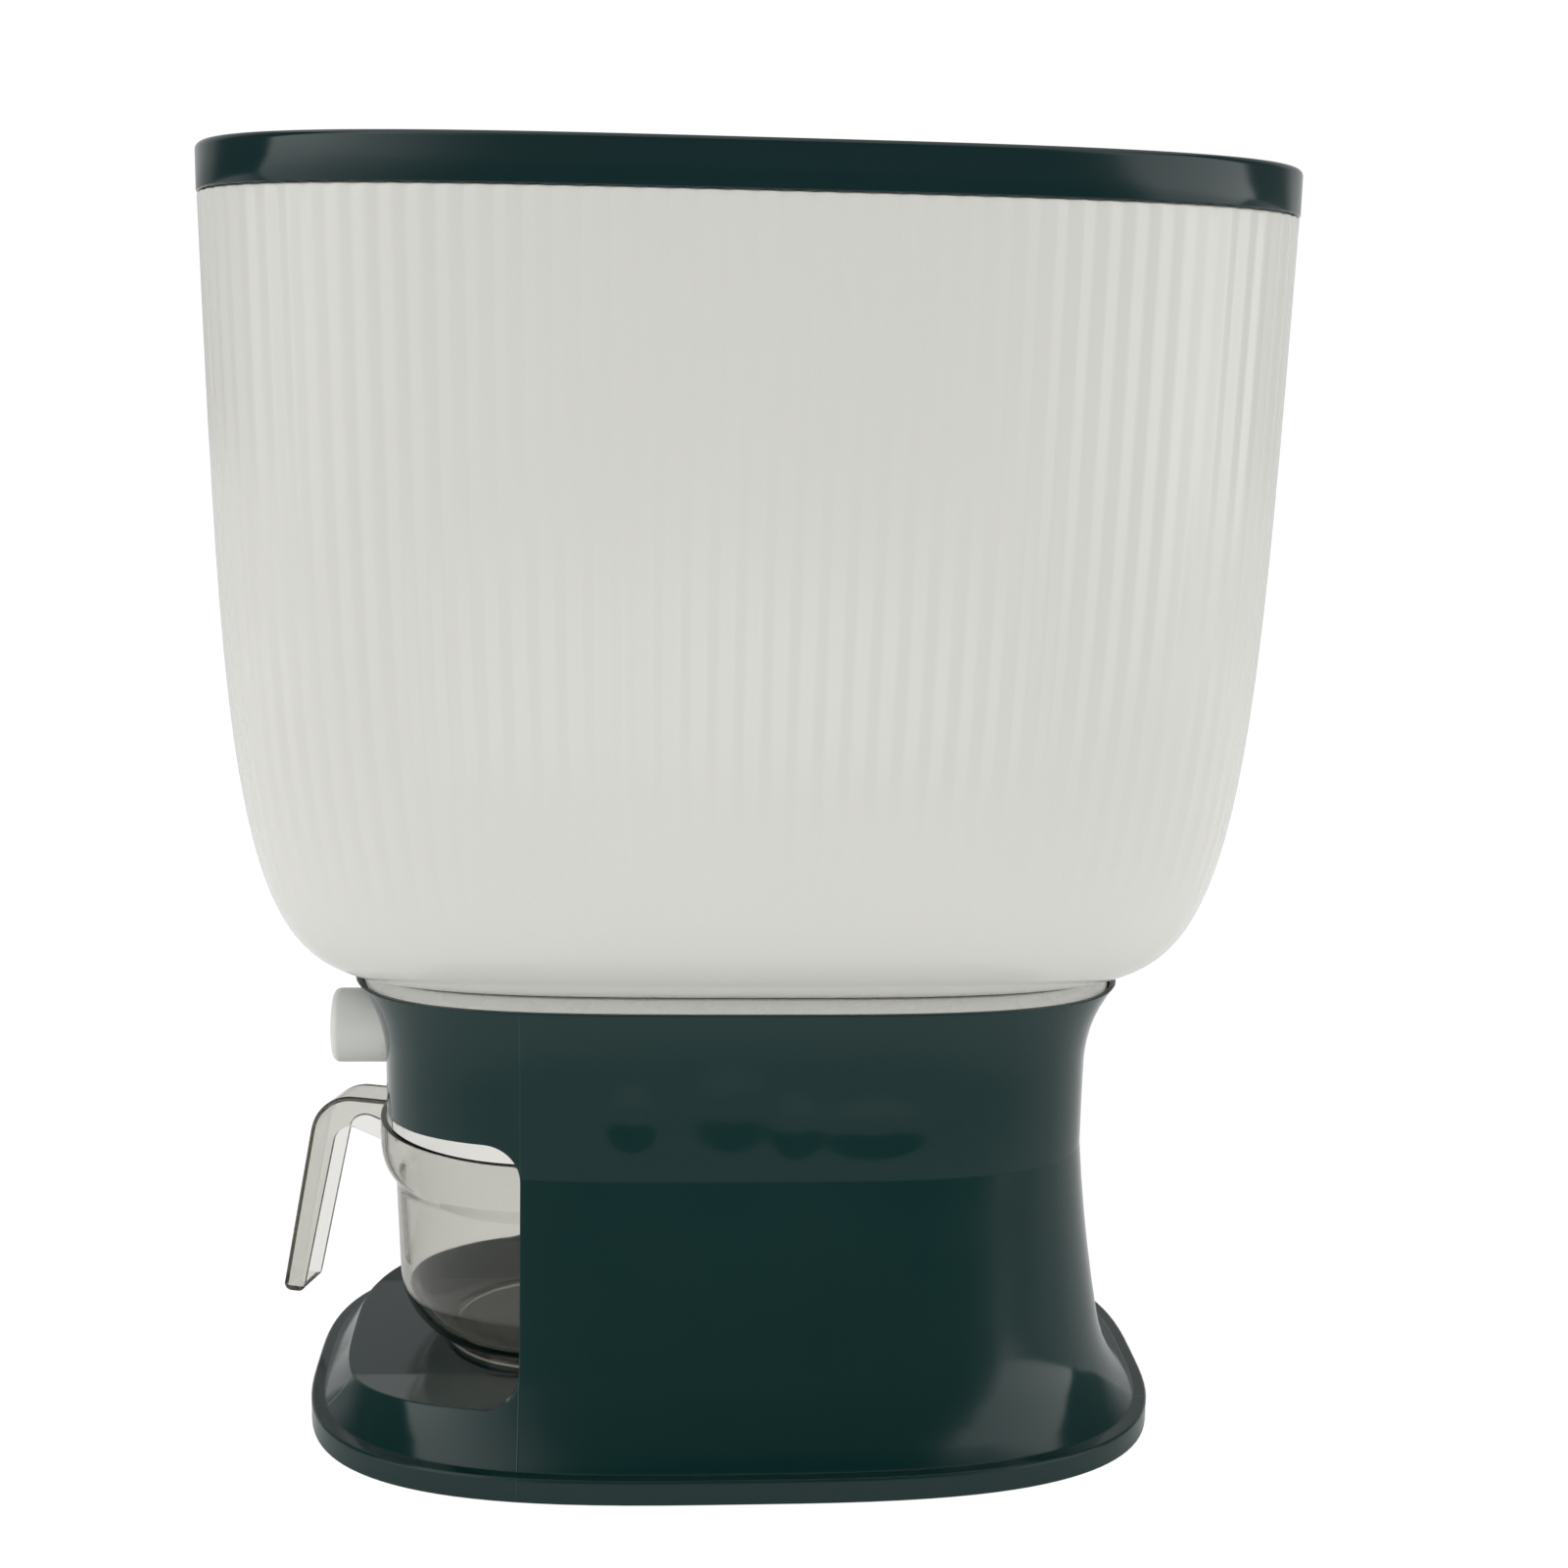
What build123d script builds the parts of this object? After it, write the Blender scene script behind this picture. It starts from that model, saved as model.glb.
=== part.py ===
from build123d import *
import os
from bisect import bisect_right
from math import copysign, cos, dist, hypot, pi, sin

# Frame: millimetres, origin under the middle of the foot, +Z up, the front looks along -Y.

# Fits
GAP = 0.3              # between faces of pieces that move past or lie beside each other
SCREW_FIT = 0.1        # radial gap of a screw in a plain hole
OVAL_POINTS = 32       # points on each superellipse outline
OVAL_SAMPLE = (100.0, 155.0, 3.3)   # outline whose spacing of points all outlines share

# Pedestal
FOOT_PROUD = 1.0       # rubber feet stand this far below the lip
LIP_TOP = 9.2          # top of the lip round the foot
LIP_HALF_WIDTH = 95.6
LIP_HALF_LENGTH = 147.7
LIP_LEDGE = 4.4        # ledge between the lip's edge and the flare
WAIST_HALF_WIDTH = 66.8
WAIST_HALF_LENGTH = 120.8
WAIST_TOP = 124.0      # the upper flare starts here
FLARE_SLOPE = 0.078    # the lower flare starts with a faint crease at the shelf
FLARE_GROWTH = 0.0009
FOOT_FLARE_TOP = 38.0
RIM_Z = 157.5
RIM_HALF_WIDTH = 71.0
RIM_HALF_LENGTH = 130.5
FOOT_POWER = 3.1       # squareness of the foot's outline
WAIST_POWER = 3.5      # squareness of the waist's outline
SHELL = 2.4            # wall of the pedestal
RIM_LIP = 1.4          # thin lip round the top plate
RIM_LIP_DEPTH = 3.5
TRAY_TOP = 20.6        # flat middle of the cup tray
TRAY_FLAT_HALF = 39.5  # half width of the flat middle
TRAY_RISE = 0.10       # slope of the tray's side strips
SEAT_RING = 2.6        # ring under the top plate
BAY_CEILING = 110.5
BAY_EDGE_Y = -72.8     # upright front edges of the side walls
BAY_SILL = 24.0
BAY_CORNER = 12.0      # corner radius of the side windows
SHELF_TOP = 99.7       # floor of the room behind the bay, and the crease in the walls
RIB_PLACES = (-15.0, 40.0, 98.0)
RIB_THICKNESS = 1.6
RIB_HEIGHT = 9.0
RIB_REACH = 9.0

# Measuring cup
CUP_Y = -65.0
CUP_RIM_RADIUS = 59.4
CUP_BODY_RADIUS = 54.2
CUP_LOW_RADIUS = 53.0
CUP_ROUND = 24.0       # radius between side and bottom
CUP_WALL = 2.2
CUP_RIM_Z = 102.6
CUP_RIM_EDGE = 0.8
CUP_LIP_BOTTOM = 80.0
CUP_RING_RADIUS = 35.6
CUP_RING_WIDTH = 3.0
CUP_RING_HEIGHT = 1.5
HANDLE_TURN = 17.0     # the handle points this many degrees away from the front
HANDLE_WIDTH = 17.0
HANDLE_WALL = 1.8
HANDLE_EDGE = 1.1
HANDLE_ROOT = 58.0     # the handle's places are measured from the cup's axis
ROOT_BOTTOM = 86.0
HANDLE_OUT = 100.6
HANDLE_TIP_Z = 25.4
HANDLE_LEAN = 0.194    # outward lean of the grip per millimetre of drop
GRIP_DEPTH = 7.9
ARMPIT_X = 77.9
ARMPIT_Z = 92.7
BEND_RADIUS = 17.0
ARMPIT_RADIUS = 7.0
TIP_RADIUS = 2.6
BAY_RADIUS = 62.5      # rear wall of the bay, round the cup's axis

# Hopper
HOPPER_FOOT_Z = 159.5
HOPPER_TOP = 411.1     # shoulder under the lid
HOPPER_HALF_WIDTH = 112.8
HOPPER_HALF_LENGTH = 174.2
HOPPER_TAPER = 0.0203
HOPPER_DEPTH = 254.9   # depth over which the belly closes
BELLY_BEND = 4.1       # higher keeps the wall straight for longer
END_ROUND = 11.6       # higher makes the belly squarer at its ends
SIDE_ROUND = 4.7       # higher makes the belly squarer at its sides
HOPPER_POWER = 3.3
HOPPER_WALL = 3.0
HOPPER_FLOOR = 2.6
FLUTES = 120
FLUTE_DEPTH = 0.5
FLUTE_FADE_TOP = 232.0     # the flutes are at their full depth above this height
FLUTE_FADE_BOTTOM = 176.0  # and gone below this one
RIM_INSET = 2.0        # step from the outer wall to the rim inside the lid
RIM_WALL = 1.8
RIM_TOP = 420.5

# Lid
LID_BOTTOM = 411.4
LID_TOP = 425.7
LID_OVER = 0.2         # the lid stands this far outside the hopper wall
LID_SKIN = 2.4
LID_SKIRT = 1.8
LID_EDGE = 2.0
LID_PANEL_INSET = 11.0
LID_PANEL_DEPTH = 0.8
LID_RIB = 1.6
LID_RIB_BOTTOM = 414.0
SEAL_WIDTH = 3.0

# Sloped floor of the bin and the outlet
FLOOR_TOP = 288.0
FLOOR_BAND = 5.0
FLOOR_SKIN = 2.2
FLOOR_RAISE = 1.5      # the funnel's inside lies this much higher, for a wall of even thickness
NECK_TOP = 166.0
NECK_HALF_WIDTH = 27.6
NECK_HALF_LENGTH = 10.6
PORT_HALF_WIDTH = 25.0
PORT_LENGTH = 12.0
PORT_MARGIN = 2.0      # overlap of the closed gate beyond the port

# Button and gate
BUTTON_Z = 133.1
BUTTON_RADIUS = 12.9
BUTTON_FACE_Y = -140.4
BUTTON_BACK_Y = -106.0
BUTTON_WALL = 2.0
BUTTON_EDGE = 2.6
BUTTON_BOSS_RADIUS = 4.5
BUTTON_GAP = 0.5
BEZEL_BACK_Y = -117.6  # thickened ring of the front wall round the button
BEZEL_RADIUS = 17.0
DISH_RADIUS = 15.4
DISH_FACE_Y = -121.7
SLEEVE_WALL = 1.9
SLEEVE_FRONT_Y = -117.3
SLEEVE_BACK_Y = -98.0
SLEEVE_FOOT_HALF = 9.0
GATE_THICKNESS = 2.6
SEAL_DEPTH = 1.4
GATE_HALF_WIDTH = 38.2
GATE_FRONT_MARGIN = 3.5
GATE_BACK_Y = -40.0
LUG_LENGTH = 4.0
LUG_HEIGHT = 9.0
TONGUE_HALF_WIDTH = 8.0
TONGUE_PAD_RADIUS = 5.5
TONGUE_PAD = 3.0
TONGUE_PAD_BACK_Y = -124.0
TRACK_FLOOR = 2.5
TRACK_FRONT_Y = -90.0
TRACK_RISER = 3.0
TRACK_BACK_Y = -1.5
TRACK_END_WALL = 2.5
TRACK_SIDE = 2.5
COVER_SKIN = 2.6
COVER_COLLAR_HEIGHT = 8.7
EAR_OUT = 10.0
EAR_PLACES = (-84.0, -52.0)
POST_RADIUS = 4.0
SPRING_X = 32.0
SPRING_RADIUS = 3.2    # radius of the coil's centre line
SPRING_WIRE = 0.45     # radius of the wire
SPRING_TURNS = 8
PIN_RADIUS = 1.5
PIN_FRONT_Y = -47.0
CHUTE_WALL = 1.8
CHUTE_HALF_WIDTH = 21.8
CHUTE_HALF_LENGTH = 13.8
CHUTE_BOTTOM = 104.6
CHUTE_FLANGE = 2.0

# Fasteners and base
SCREW_RADIUS = 1.5
HEAD_RADIUS = 3.0
HEAD_HEIGHT = 1.9
BOSS_RADIUS = 4.2
PLATE_SKIN = 2.6
HOPPER_SCREW_PLACES = [(x, y) for y in (-104.0, 0.0, 104.0) for x in (-36.0, 36.0)]
BASE_SCREW_PLACES = [(-62.0, -98.0), (62.0, -98.0), (-76.0, 12.0), (76.0, 12.0), (-62.0, 98.0), (62.0, 98.0)]
BASE_BOSS_TOP = 33.0
BASE_PLATE = 3.0
BASE_REBATE = 3.0
FOOT_RADIUS = 9.0
FOOT_RECESS = 0.8
FOOT_PLACES = {
    "foot_front_left": (-54.0, -119.0),
    "foot_front_right": (54.0, -119.0),
    "foot_rear_left": (-54.0, 119.0),
    "foot_rear_right": (54.0, 119.0),
}

# Places that follow from the sizes above
TRAVEL = PORT_LENGTH + PORT_MARGIN
CEILING_TOP = BAY_CEILING + SHELL + 0.2
GATE_BOTTOM = BUTTON_Z - GATE_THICKNESS / 2
GATE_TOP = BUTTON_Z + GATE_THICKNESS / 2
TRACK_TOP = GATE_BOTTOM - GAP
TRACK_BOTTOM = TRACK_TOP - TRACK_FLOOR
COVER_BOTTOM = GATE_TOP + GAP
COVER_TOP = COVER_BOTTOM + COVER_SKIN
COVER_INNER = GATE_HALF_WIDTH + GAP
COVER_OUTER = COVER_INNER + TRACK_SIDE
LUG_FRONT_Y = GATE_BACK_Y - LUG_LENGTH
COVER_BACK_Y = LUG_FRONT_Y - GAP
EAR_X = COVER_OUTER + EAR_OUT / 2
SPRING_FLOOR = BUTTON_Z - LUG_HEIGHT / 2 - GAP
LEDGE_Z = RIM_Z - RIM_LIP_DEPTH
PLATE_TOP = HOPPER_FOOT_Z
REBATE_TOP = FOOT_PROUD + BASE_PLATE + 0.8
FLARE_HALF_LENGTH = LIP_HALF_LENGTH - LIP_LEDGE
FLARE_HALF_WIDTH = LIP_HALF_WIDTH - LIP_LEDGE


def superellipse(half_width, half_length, angle, power):
    """Point of a superellipse in the direction that belongs to an angle."""
    x = half_width * copysign(abs(cos(angle)) ** (2 / power), cos(angle))
    y = half_length * copysign(abs(sin(angle)) ** (2 / power), sin(angle))
    return x, y


def oval_points(half_width, half_length, z, power, centre_y=0.0):
    """Points on a superellipse at height z, starting at the back."""
    points = []
    for step in range(OVAL_POINTS):
        x, y = superellipse(half_width, half_length, pi / 2 + 2 * pi * step / OVAL_POINTS, power)
        points.append(Vector(x, centre_y + y, z))
    return points


def shared_spacing():
    """Curve parameters of the points, the same on every outline, so that lofts run smooth."""
    half_width, half_length, power = OVAL_SAMPLE
    points = oval_points(half_width, half_length, 0, power)
    points.append(points[0])
    places = [0.0]
    for first, second in zip(points, points[1:]):
        places.append(places[-1] + (second - first).length)
    return [place / places[-1] for place in places]


def oval(half_width, half_length, z, power, centre_y=0.0):
    """Flat superellipse face at height z."""
    points = oval_points(half_width, half_length, z, power, centre_y)
    return Face(Wire([Edge.make_spline(points, periodic=True, parameters=shared_spacing())]))


def oval_block(half_width, half_length, bottom, top, power):
    """Upright block on a superellipse outline."""
    return extrude(oval(half_width, half_length, bottom, power), top - bottom)


def slot_face(half_width, half_length, z, corner):
    """Flat rounded rectangle over the cup's axis at height z."""
    return Pos(0, CUP_Y, z) * RectangleRounded(2 * half_width, 2 * half_length, corner)


def neck_face(z, extra=0.0):
    """Outline of the funnel's neck at height z, widened by extra."""
    return oval(NECK_HALF_WIDTH + extra, NECK_HALF_LENGTH + extra, z, HOPPER_POWER, CUP_Y)


def block(left, right, front, back, bottom, top):
    """Box between two places along each axis."""
    centre = Pos((left + right) / 2, (front + back) / 2, (bottom + top) / 2)
    return centre * Box(right - left, back - front, top - bottom)


def slab(bottom, top, front=-400.0, back=400.0, half_width=300.0):
    """Box that is centred across the object."""
    return block(-half_width, half_width, front, back, bottom, top)


def rod(x, y, bottom, top, radius):
    """Upright cylinder."""
    return Pos(x, y, (bottom + top) / 2) * Cylinder(radius, top - bottom)


def rod_along_y(x, z, front, back, radius):
    """Level cylinder along Y."""
    return Pos(x, (front + back) / 2, z) * Rot(90, 0, 0) * Cylinder(radius, back - front)


def long_flare(z):
    """Outward lean of the walls below the shelf at height z."""
    drop = max(0.0, SHELF_TOP - z)
    return FLARE_SLOPE * drop + FLARE_GROWTH * drop ** 2


def pedestal_half_length(z):
    """Half length of the pedestal's outside at height z."""
    half = WAIST_HALF_LENGTH + long_flare(z)
    if z < FOOT_FLARE_TOP:
        foot = FLARE_HALF_LENGTH - WAIST_HALF_LENGTH - long_flare(LIP_TOP)
        half += foot * ((FOOT_FLARE_TOP - z) / (FOOT_FLARE_TOP - LIP_TOP)) ** 2.6
    if z > WAIST_TOP:
        half += (RIM_HALF_LENGTH - WAIST_HALF_LENGTH) * ((z - WAIST_TOP) / (RIM_Z - WAIST_TOP)) ** 2.5
    return half


def pedestal_face(z, inset=0.0):
    """Outline of the pedestal at height z, drawn in by a wall measured square to the surface."""
    half_length = pedestal_half_length(z)
    towards_waist = -1.0 if z > WAIST_TOP else 1.0
    slope = half_length - pedestal_half_length(z + towards_waist)
    wall = inset * hypot(1, slope)
    if z < WAIST_TOP:
        share = (half_length - WAIST_HALF_LENGTH) / (FLARE_HALF_LENGTH - WAIST_HALF_LENGTH)
        half_width = WAIST_HALF_WIDTH + share * (FLARE_HALF_WIDTH - WAIST_HALF_WIDTH)
        power = WAIST_POWER + share * (FOOT_POWER - WAIST_POWER)
    else:
        share = (half_length - WAIST_HALF_LENGTH) / (RIM_HALF_LENGTH - WAIST_HALF_LENGTH)
        half_width = WAIST_HALF_WIDTH + share * (RIM_HALF_WIDTH - WAIST_HALF_WIDTH)
        power = WAIST_POWER
    return oval(half_width - wall, half_length - wall, z, power)


def pedestal_loft(inset, bottom, top):
    """Solid inside the pedestal's outline between two heights, creased at the shelf."""
    low = [bottom, 12.0, 16.0, 21.0, 26.0, 32.0, 39.0, 48.0, 58.0, 69.0, 80.0, 89.0, 95.0, 98.0, SHELF_TOP]
    high = [SHELF_TOP, 101.5, 105.0, 111.0, 118.0, 124.0, 130.0, 137.0, 144.0, 150.0, 154.5, top]
    return loft([pedestal_face(z, inset) for z in low]) + loft([pedestal_face(z, inset) for z in high])


def bay_zone(wall, bottom, top):
    """Everything in front of the bay's rear wall, or of the back of that wall."""
    front = slab(bottom, top, -400.0, CUP_Y + wall)
    return front + rod(0, CUP_Y, bottom, top, BAY_RADIUS + wall)


def above_tray(lift, top):
    """Space over the tray: flat in the middle, with strips that rise towards both sides."""
    reach = 150.0
    low = TRAY_TOP + lift
    high = low + (reach - TRAY_FLAT_HALF) * TRAY_RISE
    outline = Polyline(
        (-reach, high), (-TRAY_FLAT_HALF, low), (TRAY_FLAT_HALF, low), (reach, high), (reach, top), (-reach, top),
        close=True)
    face = Plane.XZ * make_face(outline)
    return Pos(0, 200, 0) * extrude(face, 400)


def side_windows():
    """Cut that opens the bay at the front and through both sides."""
    front = -400.0
    outline = Pos((front + BAY_EDGE_Y) / 2, (BAY_SILL + BAY_CEILING) / 2) * Rectangle(
        BAY_EDGE_Y - front, BAY_CEILING - BAY_SILL)
    corners = outline.vertices().group_by(Axis.X)[-1]
    outline = fillet(corners, BAY_CORNER)
    return extrude(Plane.YZ * outline, 200, both=True)


def pedestal_rooms(inner):
    """Hollows of the shell: above the bay, behind and under it, and the bay itself."""
    behind = slab(0, 200) - bay_zone(SHELL, 0, 200)
    upper = inner & (slab(CEILING_TOP, 200) + (behind & slab(SHELF_TOP, 200)))
    under_tray = slab(-10, BAY_SILL + 20) - above_tray(-SHELL, BAY_SILL + 60)
    lower = inner & (under_tray + (behind & slab(-10, SHELF_TOP - SHELL)))
    bay = inner & bay_zone(0.0, 0, 200) & above_tray(0.0, BAY_CEILING)
    front_opening = slab(BAY_SILL - 8, BAY_SILL + 30, -400, BAY_EDGE_Y - BAY_CORNER) & above_tray(0.0, 80)
    return [upper, lower, bay, side_windows(), front_opening]


def shelf_ribs(inner):
    """Upright ribs between the shelf and the side walls."""
    ribs = []
    for y in RIB_PLACES:
        rib = slab(SHELF_TOP - 1, SHELF_TOP + RIB_HEIGHT, y - RIB_THICKNESS / 2, y + RIB_THICKNESS / 2)
        middle = slab(0, 200, y - 5, y + 5, WAIST_HALF_WIDTH - SHELL - RIB_REACH)
        ribs.append((rib & inner) - middle)
    return ribs


def base_bosses(outer):
    """Bosses over the base plate's screws, joined to the side walls and to the tray."""
    bosses = []
    for x, y in BASE_SCREW_PLACES:
        boss = rod(x, y, REBATE_TOP, BASE_BOSS_TOP, BOSS_RADIUS) & outer
        if y < CUP_Y:
            boss = boss - above_tray(0.0, 80)
        bosses.append(boss)
    return bosses


def pedestal():
    """Waisted shell with its foot lip, cup bay, tray, rear shelf and posts, moulded in one."""
    outer = pedestal_loft(0.0, LIP_TOP, RIM_Z)
    lip = oval_block(LIP_HALF_WIDTH, LIP_HALF_LENGTH, FOOT_PROUD, LIP_TOP, FOOT_POWER)
    lip = chamfer(lip.edges().group_by(Axis.Z)[-1], 0.6)
    inner = pedestal_loft(SHELL, LIP_TOP, RIM_Z)
    rebate = oval_block(LIP_HALF_WIDTH - BASE_REBATE, LIP_HALF_LENGTH - BASE_REBATE, 0, REBATE_TOP, FOOT_POWER)
    foot_room = extrude(pedestal_face(LIP_TOP, SHELL), REBATE_TOP - LIP_TOP)
    body = outer + lip
    body = body - (pedestal_rooms(inner) + [rebate, foot_room])

    seat = inner & slab(LEDGE_Z - SEAT_RING, LEDGE_Z)
    seat -= loft([pedestal_face(z, SHELL + SEAT_RING) for z in (LEDGE_Z - SEAT_RING, LEDGE_Z)])
    bezel = rod_along_y(0, BUTTON_Z, -140, BEZEL_BACK_Y, BEZEL_RADIUS) & outer
    ear_places = [(side * EAR_X, y) for y in EAR_PLACES for side in (-1, 1)]
    posts = [rod(x, y, CEILING_TOP - 1, TRACK_BOTTOM, POST_RADIUS) for x, y in ear_places]
    body = body + (shelf_ribs(inner) + base_bosses(outer) + posts + [seat, bezel])

    rim_room = loft([pedestal_face(LEDGE_Z, RIM_LIP), pedestal_face(RIM_Z, RIM_LIP)])
    mouth = rod_along_y(0, BUTTON_Z, -140, -100, BUTTON_RADIUS + BUTTON_GAP)
    dish = rod_along_y(0, BUTTON_Z, -140, DISH_FACE_Y, DISH_RADIUS)
    spout = extrude(slot_face(CHUTE_HALF_WIDTH + GAP, CHUTE_HALF_LENGTH + GAP, BAY_CEILING - 5, 4 + GAP), 12)
    base_holes = [rod(x, y, REBATE_TOP - 1, REBATE_TOP + 10, SCREW_RADIUS) for x, y in BASE_SCREW_PLACES]
    post_holes = [rod(x, y, CEILING_TOP + 2, TRACK_BOTTOM + 1, SCREW_RADIUS) for x, y in ear_places]
    return body - (base_holes + post_holes + [rim_room, mouth, dish, spout])


def hopper_half_length(z):
    """Half length of the hopper's outside at height z."""
    depth = HOPPER_TOP - z
    share = 1 - (depth / HOPPER_DEPTH) ** BELLY_BEND
    return (HOPPER_HALF_LENGTH - HOPPER_TAPER * depth) * share ** (1 / END_ROUND)


def hopper_half_width(z):
    """Half width of the hopper's outside at height z."""
    depth = HOPPER_TOP - z
    share = 1 - (depth / HOPPER_DEPTH) ** BELLY_BEND
    return (HOPPER_HALF_WIDTH - HOPPER_TAPER * depth) * share ** (1 / SIDE_ROUND)


def hopper_face(z, inset=0.0, source_z=None):
    """Outline of the hopper at height z; source_z names the height whose outline is taken."""
    place = z if source_z is None else source_z
    return oval(hopper_half_width(place) - inset, hopper_half_length(place) - inset, z, HOPPER_POWER)


def hopper_inner_face(z):
    """Outline of the hopper's inside, whose floor lies one floor thickness higher."""
    share = (HOPPER_TOP - z) / (HOPPER_TOP - HOPPER_FOOT_Z - HOPPER_FLOOR)
    source_z = HOPPER_TOP - share * (HOPPER_TOP - HOPPER_FOOT_Z)
    return hopper_face(z, HOPPER_WALL, source_z)


def flute_directions():
    """Directions of the crests and valleys, evenly spaced along the hopper's shoulder."""
    fine = 24 * FLUTES
    places = [0.0]
    turns = [2 * pi * step / fine for step in range(fine + 1)]
    points = [superellipse(HOPPER_HALF_WIDTH, HOPPER_HALF_LENGTH, turn, HOPPER_POWER) for turn in turns]
    for first, second in zip(points, points[1:]):
        places.append(places[-1] + dist(first, second))
    directions = []
    for number in range(2 * FLUTES):
        target = places[-1] * number / (2 * FLUTES)
        step = bisect_right(places, target) - 1
        share = (target - places[step]) / (places[step + 1] - places[step])
        directions.append(2 * pi * (step + share) / fine)
    return directions


def fluted_face(z, directions):
    """Outline of the hopper at height z with a crest and a valley for each flute."""
    fade = min(1.0, max(0.0, (z - FLUTE_FADE_BOTTOM) / (FLUTE_FADE_TOP - FLUTE_FADE_BOTTOM)))
    points = []
    for number, direction in enumerate(directions):
        inset = FLUTE_DEPTH * fade if number % 2 else 0.0
        width = hopper_half_width(z) - inset
        length = hopper_half_length(z) - inset
        points.append((*superellipse(width, length, direction, HOPPER_POWER), z))
    return Face(Wire.make_polygon(points, close=True))


def hopper():
    """Fluted bin: thin wall, belly that closes to a flat foot, stepped rim for the lid."""
    directions = flute_directions()
    foot = [HOPPER_FOOT_Z, 160.3, 162.0, 165.0, 170.0]
    wall = [178.0, 190.0, 208.0, 235.0, 270.0, 320.0, 370.0, HOPPER_TOP]
    outer = loft([fluted_face(z, directions) for z in foot + wall], ruled=True)
    inner_heights = [z + HOPPER_FLOOR for z in foot] + wall
    inner = loft([hopper_inner_face(z) for z in inner_heights])
    width = HOPPER_HALF_WIDTH - RIM_INSET
    length = HOPPER_HALF_LENGTH - RIM_INSET
    rim = oval_block(width, length, HOPPER_TOP - 10, RIM_TOP, HOPPER_POWER)
    bore = oval_block(width - RIM_WALL, length - RIM_WALL, HOPPER_TOP - 20, RIM_TOP + 1, HOPPER_POWER)
    body = outer - inner
    body = body + (rim - bore)
    bosses = [rod(x, y, HOPPER_FOOT_Z + 1, HOPPER_FOOT_Z + 13, BOSS_RADIUS) for x, y in HOPPER_SCREW_PLACES]
    holes = [rod(x, y, HOPPER_FOOT_Z - 1, HOPPER_FOOT_Z + 11, SCREW_RADIUS) for x, y in HOPPER_SCREW_PLACES]
    outlet = extrude(neck_face(HOPPER_FOOT_Z - 5, GAP), 15)
    return body + bosses - (holes + [outlet])


def floor_rim_face(z, inset):
    """Outline of the funnel's upper rim, which follows the hopper's inside."""
    gap = HOPPER_WALL + GAP + inset
    return oval(hopper_half_width(FLOOR_TOP) - gap, hopper_half_length(FLOOR_TOP) - gap, z, HOPPER_POWER)


def hopper_floor():
    """Funnel insert that leads the rice down to the neck above the gate."""
    bottom = COVER_TOP + GAP
    cone = loft([neck_face(NECK_TOP), floor_rim_face(FLOOR_TOP, 0.0)], ruled=True)
    band = extrude(floor_rim_face(FLOOR_TOP, 0.0), FLOOR_BAND)
    neck = extrude(neck_face(bottom), NECK_TOP - bottom)
    low = neck_face(NECK_TOP + FLOOR_RAISE, -FLOOR_SKIN)
    high = floor_rim_face(FLOOR_TOP + FLOOR_RAISE, FLOOR_SKIN)
    room = loft([low, high], ruled=True)
    band_room = extrude(high, FLOOR_BAND)
    bore = extrude(neck_face(bottom - 1, -FLOOR_SKIN), NECK_TOP + FLOOR_RAISE - bottom + 1)
    return cone + [band, neck] - [room, band_room, bore]


def top_plate():
    """White plate that closes the pedestal's mouth and carries the hopper."""
    low = pedestal_face(LEDGE_Z, RIM_LIP + GAP)
    edge = pedestal_face(RIM_Z - 0.9, RIM_LIP + GAP)
    crown_width = hopper_half_width(HOPPER_FOOT_Z) + 3
    crown_length = hopper_half_length(HOPPER_FOOT_Z) - 5
    crown = oval(crown_width, crown_length, PLATE_TOP, WAIST_POWER)
    body = loft([low, edge]) + loft([edge, crown], ruled=True)
    room_low = pedestal_face(LEDGE_Z, RIM_LIP + GAP + PLATE_SKIN + 1)
    room_high = oval(crown_width - PLATE_SKIN, crown_length - PLATE_SKIN - 3, PLATE_TOP - PLATE_SKIN, WAIST_POWER)
    body -= loft([room_low, room_high], ruled=True)
    holes = [rod(x, y, PLATE_TOP - 10, PLATE_TOP + 1, SCREW_RADIUS + SCREW_FIT) for x, y in HOPPER_SCREW_PLACES]
    outlet = extrude(neck_face(PLATE_TOP - 10, GAP), 15)
    return body - (holes + [outlet])


def lid():
    """Cover with a skirt that hangs outside the rim and a rib that hangs inside it."""
    width = HOPPER_HALF_WIDTH + LID_OVER
    length = HOPPER_HALF_LENGTH + LID_OVER
    body = oval_block(width, length, LID_BOTTOM, LID_TOP, HOPPER_POWER)
    body = fillet(body.edges().group_by(Axis.Z)[-1], LID_EDGE)
    panel = oval_block(
        width - LID_PANEL_INSET, length - LID_PANEL_INSET, LID_TOP - LID_PANEL_DEPTH, LID_TOP + 1, HOPPER_POWER)
    body -= panel
    under = LID_TOP - LID_SKIN
    body -= oval_block(width - LID_SKIRT, length - LID_SKIRT, LID_BOTTOM - 1, under, HOPPER_POWER)
    rib_inset = LID_OVER + RIM_INSET + RIM_WALL + 1.3
    rib = oval_block(width - rib_inset, length - rib_inset, LID_RIB_BOTTOM, under + 0.5, HOPPER_POWER)
    rib -= oval_block(
        width - rib_inset - LID_RIB, length - rib_inset - LID_RIB, LID_RIB_BOTTOM - 1, under + 1, HOPPER_POWER)
    return body + rib


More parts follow.
